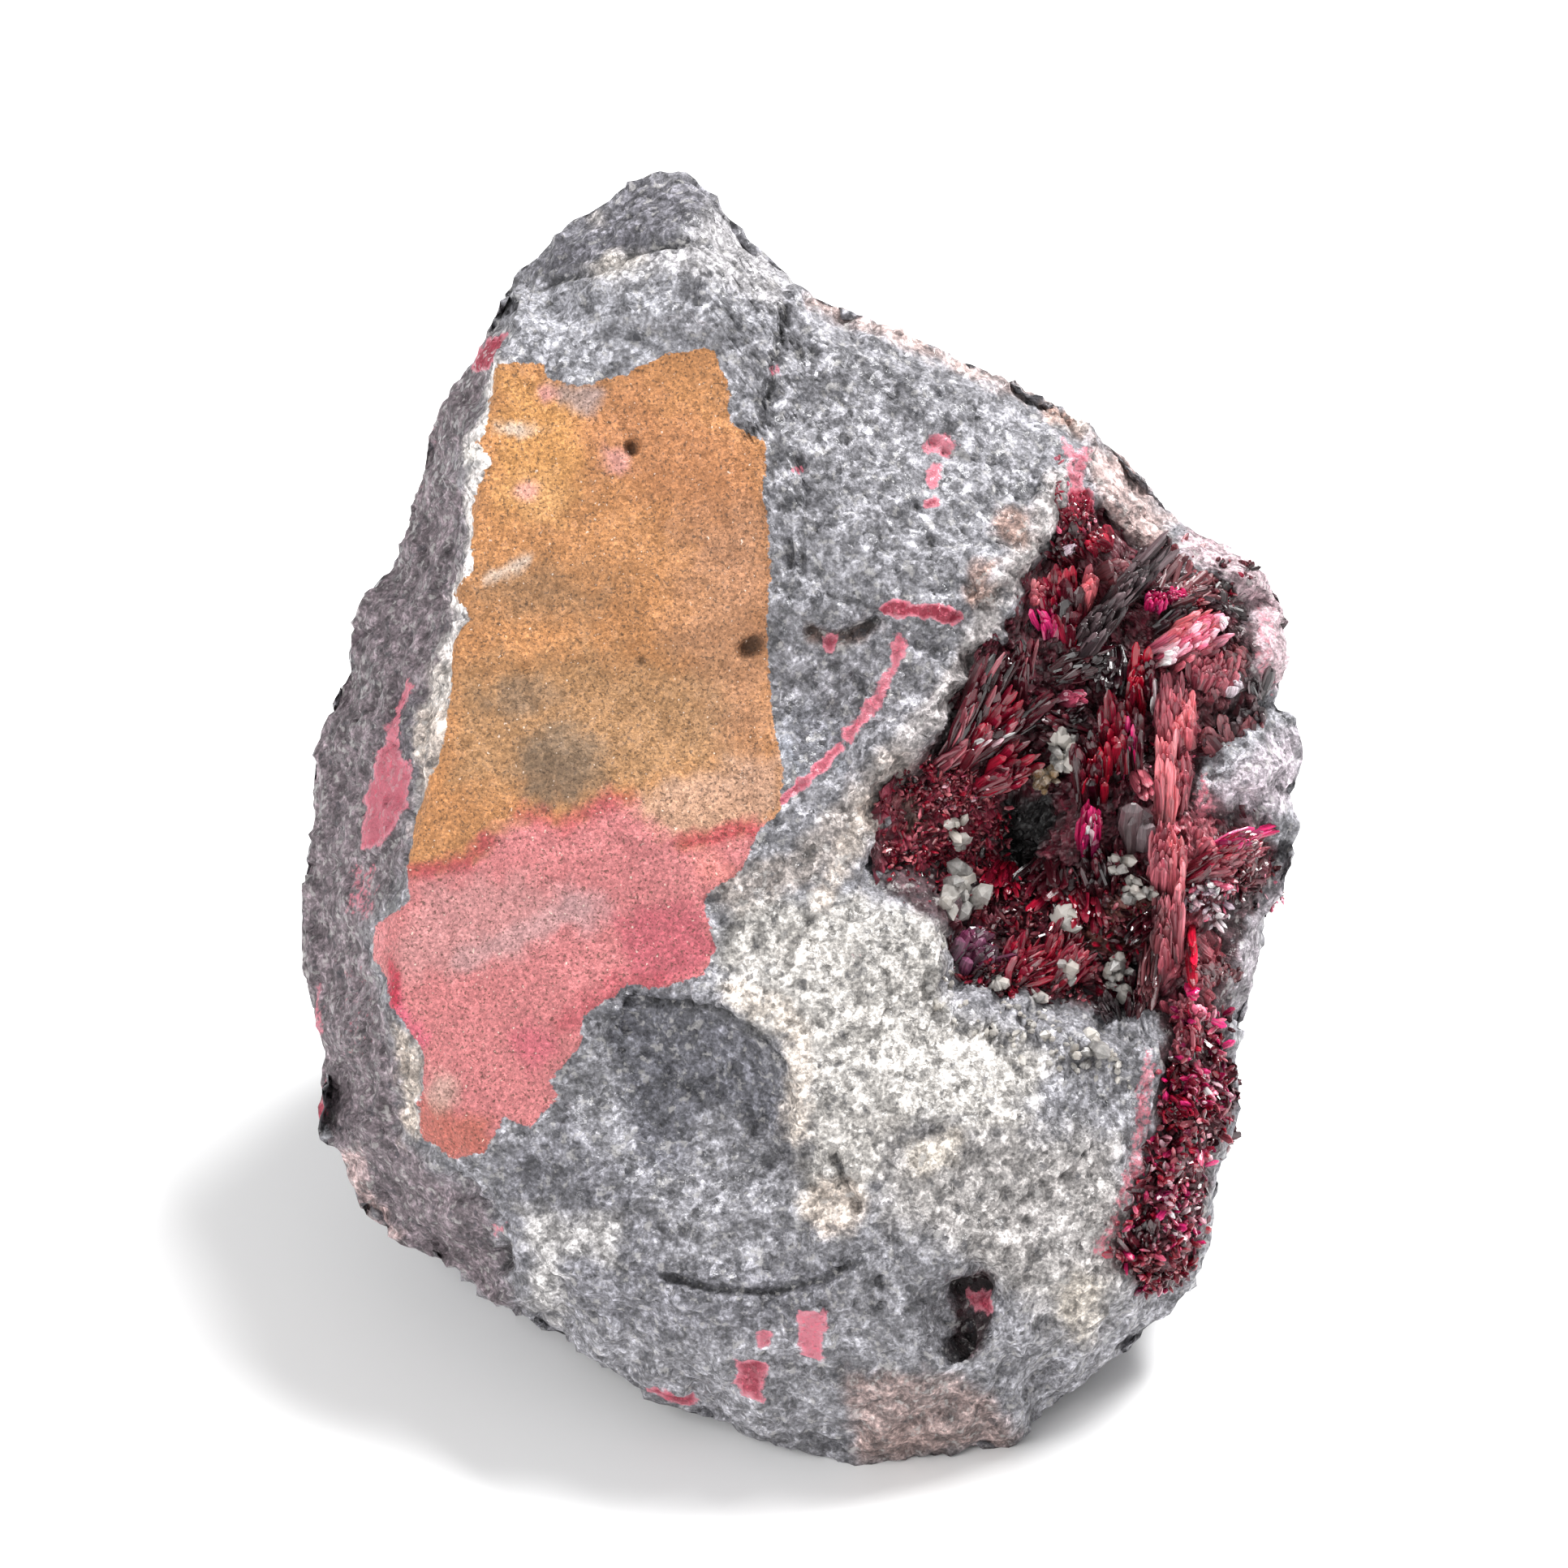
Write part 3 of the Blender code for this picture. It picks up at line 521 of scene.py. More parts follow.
def washed(colours, rows, pixels, front, points, seed):
    """Colours with washes laid over them: each row is (hex, strength, softness in millimetres, shape),
    and covers its shape up to an edge that noise of two sizes makes ragged."""
    ragged = 0.45 * lattice_noise(points, 1.6, seed) + 0.25 * lattice_noise(points, 0.6, seed + 1)
    for colour, strength, softness, shape in rows:
        near = shape(pixels[front]) + ragged[front] * (0.6 + softness)
        cover = np.zeros(len(pixels))
        cover[front] = strength * smooth_step(-softness, softness, near)
        colours = colours + cover[:, None] * (linear(colour) - colours)
    return colours


ROCK_WASHES = (
    # painted shade: the left flank darkened to a dull purplish grey
    ("#63565b", 0.85, 0.9, FLANK_SHADE_OUTLINE),
    ("#565259", 0.7, 1.0, area((500, 856), (531, 856), (531, 939), (505, 960), (470, 1000), (470, 920))),
    ("#55535a", 0.8, 1.2, area((640, 330), (719, 262), (790, 215), (850, 212), (880, 250), (830, 300),
                               (742, 330), (660, 345))),
    ("#a5a2a4", 0.7, 0.8, area((742, 333), (840, 300), (880, 250), (935, 300), (975, 350), (960, 385),
                               (900, 350), (820, 335), (760, 360))),
    ("#b5ada6", 0.8, 0.5, patch(757, 325, 30, 16, 10)),
    ("#a9a39f", 0.6, 0.5, patch(734, 262, 10, 14, 30)),
    ("#909096", 0.5, 1.5, area((640, 360), (820, 340), (960, 400), (900, 430), (700, 470), (620, 440))),
    # the dark basin: partly its own dark fine-grained rock, partly painted shade where it faces down under the
    # film
    ("#4f4f57", 0.7, 1.0, area((740, 1241), (800, 1228), (846, 1235), (895, 1250), (941, 1280), (965, 1330),
                               (960, 1395), (880, 1360), (840, 1440), (790, 1440), (765, 1340))),
    ("#66656c", 0.6, 1.4, area((600, 1440), (700, 1380), (770, 1440), (830, 1560), (1040, 1560), (1010, 1640),
                               (800, 1650), (640, 1600))),
    ("#b8b3ad", 0.75, 1.1, area((905, 1110), (1060, 1105), (1160, 1140), (1160, 1240), (1300, 1300),
                                (1250, 1390), (1120, 1380), (1060, 1480), (990, 1500), (990, 1300),
                                (905, 1240), (885, 1170))),
    ("#c9bdb2", 0.75, 0.6, stroke(16, (908, 1226), (960, 1245), (985, 1287), (985, 1394))),
    ("#c4b6ab", 0.8, 0.7, patch(1028, 1486, 38, 36, 0)),
    ("#a8a29d", 0.6, 1.6, area((1080, 1380), (1380, 1400), (1400, 1560), (1340, 1660), (1180, 1540),
                               (1090, 1500))),
    ("#c6bcb0", 0.7, 0.7, patch(1155, 1420, 34, 22, 20)),
    ("#c6bcb0", 0.7, 0.6, patch(1328, 1600, 24, 40, 0)),
    ("#bfbbb8", 0.6, 1.0, area((640, 1490), (773, 1500), (760, 1556), (690, 1540), (690, 1630),
                               (650, 1600), (655, 1545))),
    ("#a39c9b", 0.85, 0.5, stroke(17, (1305, 590), (1283, 650), (1225, 740), (1200, 800), (1160, 862),
                                  (1100, 945))),
    ("#8f857f", 0.75, 0.8, stroke(22, (1100, 945), (1040, 1010), (990, 1070), (900, 1100))),
    ("#b7aaa0", 0.7, 0.6, stroke(13, (1075, 990), (1040, 1060), (1010, 1110))),
    ("#8d6f63", 0.8, 0.6, area((1193, 700), (1229, 690), (1220, 743), (1190, 743))),
    ("#8a6b5e", 0.75, 0.6, patch(1250, 652, 24, 26, 0)),
    ("#87624e", 0.6, 0.5, stroke(9, (1000, 780), (1030, 790), (1079, 772))),
    ("#5c6068", 0.85, 0.7, area((959, 880), (1000, 866), (1043, 900), (1040, 945), (985, 958), (955, 925))),
    ("#6d6b70", 0.6, 1.0, area((955, 800), (1170, 790), (1130, 880), (1000, 960), (950, 900))),
    # painted highlight: a pale line along the lit top right edge of the rock
    ("#c3a9a3", 0.7, 0.5, stroke(8, (1000, 372), (1092, 408), (1186, 450), (1262, 482), (1330, 522))),
    ("#9c7663", 0.6, 0.5, area((1270, 480), (1341, 524), (1330, 545), (1290, 520))),
    ("#e6dcd6", 0.9, 0.3, patch(1333, 522, 14, 10, 30)),
    ("#b09691", 0.75, 0.7, area((1345, 540), (1400, 580), (1440, 640), (1420, 700), (1365, 640), (1340, 575))),
    ("#b39aa0", 0.85, 0.6, stroke(24, (1480, 672), (1530, 700), (1562, 752), (1568, 820))),
    ("#a79ca4", 0.85, 0.8, area((1480, 985), (1530, 950), (1570, 905), (1600, 900), (1610, 990), (1540, 1010),
                                (1490, 1030))),
    ("#8c848a", 0.8, 0.8, area((1540, 1100), (1600, 1050), (1560, 1200), (1530, 1260), (1505, 1220))),
    ("#b79e9c", 0.8, 0.5, area((421, 1422), (440, 1420), (460, 1470), (490, 1521), (450, 1500))),
    ("#d9d2cf", 0.9, 0.35, stroke(8, (613, 450), (605, 506), (592, 545), (600, 570), (588, 608), (582, 669),
                                  (580, 702), (562, 735), (572, 759), (552, 792), (546, 850))),
    ("#d5cec8", 0.8, 0.4, patch(590, 555, 15, 14, 0)),
    ("#c4bbb4", 0.8, 0.5, area((531, 823), (560, 810), (556, 880), (540, 920), (519, 930), (526, 870))),
    ("#b9aba1", 0.8, 0.6, area((522, 880), (556, 870), (560, 960), (600, 1000), (585, 1058), (523, 1060),
                               (512, 1000))),
    ("#c2b3a6", 0.75, 0.6, area((486, 1266), (520, 1290), (523, 1400), (500, 1407))),
    ("#3c3238", 0.8, 0.3, patch(440, 790, 9, 16, 10)),
    ("#3c3238", 0.8, 0.3, patch(460, 712, 12, 12, 0)),
    ("#8c6a5d", 0.5, 0.8, area((1040, 1690), (1200, 1700), (1260, 1780), (1060, 1800))),
    ("#3a1a20", 0.9, 0.4, area((1322, 590), (1350, 620), (1395, 668), (1440, 690), (1500, 705), (1545, 760),
                               (1552, 840), (1540, 890), (1485, 930), (1478, 968), (1540, 1000), (1580, 1050),
                               (1545, 1120), (1515, 1200), (1510, 1300), (1518, 1375), (1486, 1440),
                               (1482, 1520), (1456, 1585), (1405, 1592), (1362, 1545), (1393, 1480),
                               (1418, 1400), (1430, 1320), (1432, 1250), (1380, 1250), (1290, 1230),
                               (1185, 1205), (1172, 1150), (1095, 1105), (1085, 1020), (1135, 925),
                               (1200, 850), (1250, 765), (1295, 670))),
    # painted shade: the small cavity near the foot darkened nearly to black
    ("#2b1216", 0.9, 0.3, area((1180, 1570), (1220, 1565), (1225, 1630), (1200, 1679), (1172, 1660))),
)
FILM_WASHES = (
    ("#a9714a", 0.8, 2.0, area((760, 470), (940, 560), (945, 800), (840, 640), (700, 560))),
    ("#c08a4f", 0.7, 1.0, area((615, 455), (700, 480), (720, 560), (690, 640), (610, 640))),
    ("#d09c68", 0.6, 0.8, patch(660, 610, 40, 30, -20)),
    ("#a5785a", 0.7, 2.2, area((850, 640), (948, 620), (955, 900), (880, 960), (830, 800))),
    ("#8a6a4c", 0.65, 1.6, patch(660, 730, 70, 35, 0)),
    ("#937452", 0.6, 2.0, area((560, 830), (700, 800), (880, 830), (900, 960), (740, 990), (560, 960))),
    ("#6e5d4c", 0.75, 1.2, patch(690, 945, 52, 50, 10)),
    ("#6a5a4b", 0.6, 1.0, patch(640, 860, 40, 22, 10)),
    ("#ad8b78", 0.7, 1.2, area((820, 960), (965, 930), (965, 1000), (900, 1040), (830, 1040), (770, 1000))),
    ("#8f8a90", 0.6, 0.5, area((676, 470), (745, 480), (730, 508), (690, 500))),
    ("#c98c8f", 0.7, 0.5, patch(676, 486, 12, 9, 0)),
    ("#cf9490", 0.7, 0.6, patch(755, 565, 16, 14, -30)),
    ("#d79a90", 0.8, 0.5, patch(648, 603, 14, 13, 0)),
    ("#cfc3b8", 0.7, 0.4, patch(640, 528, 16, 6, 0)),
    ("#cfc3b8", 0.6, 0.4, stroke(5, (600, 712), (640, 695), (650, 690))),
    ("#bb6f72", 0.95, 0.9, ROSE_OUTLINE),
    ("#b98886", 0.6, 1.2, area((520, 1090), (640, 1080), (720, 1120), (640, 1180), (560, 1200), (480, 1200))),
    ("#ad8484", 0.75, 0.5, stroke(15, (575, 1182), (640, 1150), (719, 1118))),
    ("#b3898a", 0.6, 0.8, patch(720, 1120, 36, 30, 0)),
    ("#b0525f", 0.8, 0.8, area((760, 1130), (870, 1110), (882, 1168), (866, 1204), (809, 1217), (772, 1200))),
    ("#a8434f", 0.6, 0.7, stroke(14, (700, 1260), (760, 1215), (810, 1213))),
    ("#9e333c", 0.75, 0.5, stroke(9, (511, 1074), (576, 1062), (600, 1040))),
    ("#a53c3e", 0.6, 0.7, stroke(10, (640, 1003), (700, 1015), (752, 985), (770, 980))),
    ("#a03038", 0.8, 0.5, stroke(9, (842, 1041), (900, 1025), (925, 1020))),
    ("#cf7d72", 0.6, 0.6, patch(880, 1068, 26, 18, -30)),
    ("#c95b72", 0.9, 0.35, stroke(8, (482, 1210), (490, 1240), (505, 1262), (520, 1285))),
    ("#a42338", 0.9, 0.25, stroke(5, (484, 1185), (488, 1235))),
    ("#d98c8e", 0.7, 0.5, stroke(8, (468, 1140), (468, 1180))),
    ("#a55a4a", 0.8, 0.8, area((522, 1357), (600, 1380), (612, 1430), (540, 1425), (515, 1400))),
    ("#b7a395", 0.6, 0.6, patch(548, 1340, 16, 24, 10)),
    ("#c4606f", 0.7, 0.7, patch(655, 1290, 26, 26, 0)),
)
rock_tone = lattice_noise(rock_base, 5.0, 61)[:, None]
rock_tint = linear("#7d7c81") * (1 + 0.28 * rock_tone)
rock_tint = washed(rock_tint, ROCK_WASHES, rock_pixels, rock_front, rock_base, 62)
film_tint = linear("#b07a4c") * (1 + 0.2 * rock_tone)
film_tint = washed(film_tint, FILM_WASHES, rock_pixels, rock_front, rock_base, 64)

# Erythrite dust on the rock: (strength, softness, shape), where 1 is solid crimson
BLUSH = (
    (0.75, 0.5, area((463, 914), (500, 905), (506, 960), (500, 1010), (470, 1045), (440, 1050), (450, 980))),
    (0.7, 0.4, stroke(8, (484, 910), (490, 870), (507, 845))),
    (0.45, 0.8, area((430, 1060), (470, 1060), (460, 1140), (425, 1130))),
    (1.0, 0.3, area((578, 455), (600, 420), (622, 405), (612, 440), (590, 462))),
    (0.55, 0.4, stroke(6, (393, 1217), (393, 1275))),
    (0.9, 0.4, stroke(9, (386, 1309), (396, 1371))),
    (0.3, 1.0, area((410, 1150), (460, 1180), (470, 1300), (420, 1320))),
    (0.7, 0.3, patch(1151, 585, 10, 17, 0)),
    (0.6, 0.4, patch(1163, 548, 24, 16, 0)),
    (0.9, 0.25, patch(1150, 619, 7, 6, 0)),
    (0.95, 0.3, stroke(9, (1094, 750), (1120, 752), (1150, 754), (1181, 760))),
    (0.75, 0.5, stroke(9, (1109, 790), (1098, 830), (1075, 870), (1045, 906))),
    (0.8, 0.4, patch(1023, 795, 9, 11, 0)),
    (0.8, 0.35, stroke(7, (961, 988), (1000, 955), (1033, 920))),
    (0.9, 0.25, patch(985, 577, 9, 6, 0)),
    (0.8, 0.3, stroke(4, (954, 430), (956, 455))),
    (0.6, 0.5, area((1300, 537), (1345, 560), (1335, 600), (1316, 620), (1310, 570))),
    (0.95, 0.4, area((1311, 600), (1345, 600), (1350, 655), (1325, 665), (1312, 640))),
    (0.4, 0.6, patch(1060, 1180, 14, 10, 0)),
    (0.5, 0.4, patch(613, 1514, 12, 12, 0)),
    (0.85, 0.3, stroke(7, (806, 1712), (851, 1725))),
    (0.85, 0.3, area((907, 1676), (949, 1680), (940, 1729), (905, 1715))),
    (0.7, 0.4, patch(941, 1650, 12, 16, 0)),
    (0.7, 0.4, area((981, 1609), (1025, 1615), (1015, 1680), (985, 1670))),
    (0.85, 0.3, patch(1209, 1604, 15, 14, 0)),
    (0.5, 0.6, stroke(12, (1355, 1545), (1385, 1480), (1405, 1400), (1415, 1300))),
    (0.5, 0.6, patch(1480, 1000, 16, 50, 0)),
    (0.45, 0.8, area((1540, 720), (1575, 760), (1570, 870), (1545, 840))),
    (0.35, 0.8, area((420, 430), (560, 470), (520, 620), (470, 600))),
)
blush = np.zeros(len(ball))
ragged = 0.35 * lattice_noise(rock_base, 1.4, 66) + 0.2 * lattice_noise(rock_base, 0.55, 67)
for strength, softness, shape in BLUSH:
    cover = smooth_step(-softness, softness, shape(rock_pixels) + ragged) * rock_front
    blush = np.maximum(blush, strength * cover)
# painted shade: the rock's colour lighter on its raised lumps and darker in the low places between them
relief_shade = 1 + 0.3 * np.clip(0.5 * middle + 0.7 * fine, -1, 1) * calm
# painted shade: rock and film colours darkened by up to 0.75 in the pits and cracks
rock_tint = rock_tint * relief_shade[:, None] * (1 - 0.75 * crevice_shade[:, None])
film_tint = film_tint * (1 - 0.75 * crevice_shade[:, None])
rock = mesh_piece(
    "rock", rock_points, [rock_quads], smooth=True,
    colours={"rock_tint": np.clip(rock_tint, 0, 0.9), "film_tint": np.clip(film_tint, 0, 0.9)},
    numbers={"film_distance": film_distance, "blush": blush, "calm": calm},
)


def add_node(tree, kind, inputs=(), **settings):
    """Adds a node, sets its properties, and gives each named input a value or another node's output."""
    made = tree.nodes.new(kind)
    for key, value in settings.items():
        setattr(made, key, value)
    for key, value in dict(inputs).items():
        if isinstance(value, bpy.types.NodeSocket):
            tree.links.new(value, made.inputs[key])
        else:
            made.inputs[key].default_value = value
    return made


def new_material(name):
    """An empty material, and its node tree."""
    material = bpy.data.materials.new(name)
    material.use_nodes = True
    material.node_tree.nodes.clear()
    return material, material.node_tree


# Broken quartz rock with disseminated ore: grains of 0.1 to 1 mm, from glassy pale to near black,
# dull as a whole, with small cleavage faces that glint. The films are dull mineral dust with dark
# specks, and erythrite dust shows as pink to crimson specks between the grains.
stone, tree = new_material("broken quartz rock with ore and mineral films")
place = add_node(tree, "ShaderNodeTexCoord").outputs["Object"]
rock_colour = add_node(tree, "ShaderNodeAttribute", attribute_name="rock_tint").outputs["Color"]
film_colour = add_node(tree, "ShaderNodeAttribute", attribute_name="film_tint").outputs["Color"]
distance = add_node(tree, "ShaderNodeAttribute", attribute_name="film_distance").outputs["Fac"]
dust = add_node(tree, "ShaderNodeAttribute", attribute_name="blush").outputs["Fac"]


def noise_of(tree, place, size_mm, detail=2.0, rough=0.5):
    """Blender's fractal noise with features of a real size, from 0 to 1, read at a place in metres."""
    return add_node(tree, "ShaderNodeTexNoise", {
        "Vector": place, "Scale": 1000 / size_mm, "Detail": detail, "Roughness": rough,
    }).outputs["Fac"]


def arithmetic(tree, operation, first, second=0.0, third=0.0):
    """One step of arithmetic on numbers."""
    return add_node(
        tree, "ShaderNodeMath", {0: first, 1: second, 2: third}, operation=operation
    ).outputs[0]


def ramp(tree, value, low, high, to_low=0.0, to_high=1.0):
    """A number taken smoothly from one range to another."""
    return add_node(tree, "ShaderNodeMapRange", {
        "Value": value, "From Min": low, "From Max": high, "To Min": to_low, "To Max": to_high,
    }, interpolation_type="SMOOTHSTEP").outputs["Result"]


def blend(tree, share, first, second, mode="MIX"):
    """Two colours mixed by a share."""
    return add_node(
        tree, "ShaderNodeMix", {0: share, 6: first, 7: second}, data_type="RGBA", blend_type=mode
    ).outputs[2]


def rgba(hex_colour):
    """A hex colour as a shader socket takes it."""
    return (*linear(hex_colour), 1.0)


mottle = noise_of(tree, place, 1.3, 4.0, 0.62)
speck = noise_of(tree, place, 0.28, 2.0, 0.6)
grains = add_node(tree, "ShaderNodeTexVoronoi", {"Vector": place, "Scale": 1000 / 0.42})
grain_shade = add_node(tree, "ShaderNodeSeparateColor", {"Color": grains.outputs["Color"]})
tone = arithmetic(tree, "MULTIPLY_ADD", mottle, 2.6, -1.3)
tone = arithmetic(tree, "MULTIPLY_ADD", speck, 1.9, arithmetic(tree, "SUBTRACT", tone, 0.95))
tone = arithmetic(tree, "MULTIPLY_ADD", grain_shade.outputs[0], 0.5, arithmetic(tree, "SUBTRACT", tone, 0.25))
strength = arithmetic(tree, "POWER", 4.6, tone)
strength = add_node(tree, "ShaderNodeCombineColor", {0: strength, 1: strength, 2: strength}).outputs[0]
rock_mix = blend(tree, 1.0, rock_colour, strength, "MULTIPLY")
pale = ramp(tree, noise_of(tree, place, 0.75, 3.0, 0.55), 0.56, 0.68, 0.0, 0.5)
rock_mix = blend(tree, pale, rock_mix, rgba("#bdbab8"))
dark = ramp(tree, noise_of(tree, place, 0.9, 3.0, 0.6), 0.57, 0.67, 0.0, 0.55)
rock_mix = blend(tree, dark, rock_mix, rgba("#33343b"))
dust_fine = noise_of(tree, place, 0.42, 3.0, 0.6)
dust_edge = arithmetic(tree, "MULTIPLY_ADD", dust_fine, 0.9, -0.45)
dust_cover = ramp(tree, arithmetic(tree, "ADD", dust, dust_edge), 0.36, 0.62, 0.0, 0.92)
dust_tint = blend(tree, ramp(tree, dust, 0.55, 0.95), rgba("#cf7d8c"), rgba("#8c1230"))
dust_tint = blend(tree, ramp(tree, speck, 0.52, 0.7, 0.0, 0.7), dust_tint, rgba("#d9566f"))
rock_mix = blend(tree, dust_cover, rock_mix, dust_tint)
film_fine = noise_of(tree, place, 0.24, 2.0, 0.65)
film_power = arithmetic(tree, "POWER", 4.0, arithmetic(tree, "MULTIPLY_ADD", film_fine, 1.5, -0.75))
film_power = add_node(
    tree, "ShaderNodeCombineColor", {0: film_power, 1: film_power, 2: film_power}
).outputs[0]
film_mix = blend(tree, 1.0, film_colour, film_power, "MULTIPLY")
film_specks = ramp(tree, noise_of(tree, place, 0.2, 1.0, 0.5), 0.58, 0.68, 0.0, 0.7)
film_mix = blend(tree, film_specks, film_mix, rgba("#4a3628"))
film_flecks = ramp(tree, noise_of(tree, place, 0.3, 1.0, 0.5), 0.72, 0.78, 0.0, 0.8)
film_mix = blend(tree, film_flecks, film_mix, rgba("#e2cdbc"))
edge_noise = arithmetic(tree, "MULTIPLY_ADD", noise_of(tree, place, 0.7, 3.0, 0.65), 0.9, -0.45)
film_cover = ramp(tree, arithmetic(tree, "ADD", distance, edge_noise), -0.05, 0.05)
surface = blend(tree, film_cover, rock_mix, film_mix)
facing = add_node(tree, "ShaderNodeNewGeometry").outputs["Normal"]
tilt = add_node(tree, "ShaderNodeVectorMath", {
    0: grains.outputs["Color"], 1: (0.5, 0.5, 0.5),
}, operation="SUBTRACT").outputs[0]
glint_faces = add_node(tree, "ShaderNodeVectorMath", {0: tilt, 1: (0.7, 0.7, 0.7), 2: facing},
                       operation="MULTIPLY_ADD").outputs[0]
glint_faces = add_node(tree, "ShaderNodeVectorMath", {0: glint_faces}, operation="NORMALIZE").outputs[0]
height = arithmetic(tree, "MULTIPLY_ADD", mottle, 0.5, speck)
relief = add_node(tree, "ShaderNodeBump", {
    "Height": height, "Normal": glint_faces, "Distance": 0.00018, "Strength": 0.8,
}).outputs[0]
gloss = ramp(tree, grain_shade.outputs[1], 0.7, 0.8, 0.8, 0.28)
gloss = arithmetic(tree, "MAXIMUM", gloss, arithmetic(tree, "MULTIPLY", film_cover, 0.75))
shader = add_node(tree, "ShaderNodeBsdfPrincipled", {
    "Base Color": surface, "Roughness": gloss, "Normal": relief, "IOR": 1.54,
})
add_node(tree, "ShaderNodeOutputMaterial", {"Surface": shader.outputs[0]})
rock.data.materials.append(stone)
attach(rock, "root")
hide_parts("matrix")

# The crust: cobalt bloom that grew in the hollow of the rock and on down its right edge. Its ground is
# a dark crimson mat of small crystals, powdery in places, with painted black shade in the hollows and gaps
# between the blades on it.
CRUST_CELLS = 90
CRUST_DIP = 0.8
CRUST_DEPTH = 3.0
CRUST_FRONT_ANGLE = math.radians(140)
VUG_CENTRE = np.array([1345.0, 930.0])
VUG_OUTLINE = (
    (1322, 590), (1350, 620), (1395, 668), (1440, 690), (1500, 705), (1545, 760), (1552, 840),
    (1540, 890), (1485, 930), (1478, 968), (1540, 1000), (1580, 1050), (1545, 1120),
    (1515, 1200), (1440, 1265), (1380, 1262), (1290, 1240), (1180, 1212), (1165, 1150),
    (1085, 1110), (1070, 1020), (1125, 920), (1190, 845), (1240, 755), (1285, 660),
)
VUG_SURFACE = (
    (1315, 640, -2), (1298, 740, -2.5), (1252, 800, -1.5), (1210, 865, -1.2), (1155, 930, -1.2),
    (1105, 1000, -1.5), (1110, 1080, -1.5), (1180, 1000, -2.5), (1240, 950, -3.5),
    (1250, 1040, -8), (1300, 990, -5), (1320, 850, -4), (1335, 1000, -3.5), (1400, 980, -3.5),
    (1400, 800, -4), (1400, 700, -3.5), (1460, 760, -4), (1520, 760, -5), (1500, 850, -4.5),
    (1460, 900, -4), (1450, 1050, -3.5), (1530, 1040, -5), (1500, 1110, -5.5),
    (1400, 1100, -4.5), (1300, 1100, -5.5), (1200, 1150, -3.5), (1220, 1205, -3),
    (1300, 1200, -4.5), (1375, 1235, -6.5), (1450, 1200, -4), (1480, 1150, -5.5),
)
EDGE_CENTRE = np.array([1465.0, 1400.0])
EDGE_OUTLINE = (
    (1480, 1100), (1512, 1190), (1510, 1300), (1518, 1375), (1486, 1440), (1482, 1520),
    (1456, 1585), (1405, 1592), (1362, 1545), (1393, 1480), (1418, 1400), (1430, 1320),
    (1432, 1250), (1440, 1150),
)
EDGE_SURFACE = (
    (1475, 1180, -4), (1470, 1240, -3.8), (1470, 1290, -4), (1468, 1350, -4.4), (1450, 1430, -4.2),
    (1435, 1500, -4), (1412, 1550, -4.4), (1492, 1370, -6.5), (1472, 1450, -6.5),
    (1462, 1540, -7),
)
CRUST_WASHES = (
    ("#8f2c42", 0.85, 0.8, area((1085, 950), (1130, 930), (1200, 960), (1245, 1000), (1235, 1090),
                                (1210, 1130), (1100, 1110), (1080, 1040))),
    ("#b04a5c", 0.6, 0.6, patch(1180, 975, 26, 22, -20)),
    ("#b35266", 0.6, 0.6, patch(1115, 1090, 34, 20, 10)),
    ("#6b544c", 0.85, 0.5, area((1103, 980), (1125, 970), (1141, 1010), (1130, 1030), (1110, 1020))),
    # Painted shade: the near-black washes below stand for the shadow in the hollows, under the lip and in the
    # gaps between the blades
    ("#050203", 1.0, 0.5, area((1232, 985), (1300, 975), (1308, 1010), (1285, 1050), (1300, 1085),
                               (1250, 1095), (1228, 1040))),
    ("#050203", 1.0, 0.4, patch(1278, 765, 11, 12, 0)),
    ("#050203", 1.0, 0.4, area((1376, 1175), (1423, 1198), (1420, 1259), (1385, 1240))),
    ("#050203", 0.9, 0.5, stroke(14, (1120, 960), (1170, 895), (1230, 830))),
    ("#050203", 0.9, 0.4, stroke(6, (1424, 773), (1450, 753), (1475, 740), (1506, 745), (1536, 758))),
    ("#7a3440", 0.8, 0.6, area((1355, 689), (1399, 689), (1396, 720), (1360, 730))),
    ("#6a2c38", 0.85, 0.8, area((1437, 674), (1508, 690), (1520, 740), (1450, 735))),
    ("#9a4a58", 0.9, 0.6, area((1420, 822), (1480, 815), (1478, 930), (1460, 1000), (1418, 1000),
                               (1430, 900))),
    ("#b8606c", 0.8, 0.4, stroke(10, (1436, 880), (1438, 950), (1430, 1020), (1445, 1100))),
    ("#733a42", 0.8, 0.8, area((1478, 840), (1540, 800), (1545, 860), (1480, 900))),
    ("#3c2a2d", 0.85, 0.8, area((1530, 750), (1552, 760), (1560, 860), (1535, 890), (1520, 800))),
    ("#46262b", 0.9, 0.6, area((1478, 865), (1556, 862), (1550, 920), (1520, 952), (1480, 945))),
    ("#9c4552", 0.8, 0.6, area((1430, 1000), (1500, 1010), (1480, 1090), (1470, 1200), (1425, 1210),
                               (1440, 1100))),
    ("#8a3a45", 0.85, 0.6, area((1476, 1150), (1520, 1160), (1523, 1235), (1480, 1240))),
    ("#7d5148", 0.7, 0.6, patch(1380, 1140, 60, 30, 20)),
)


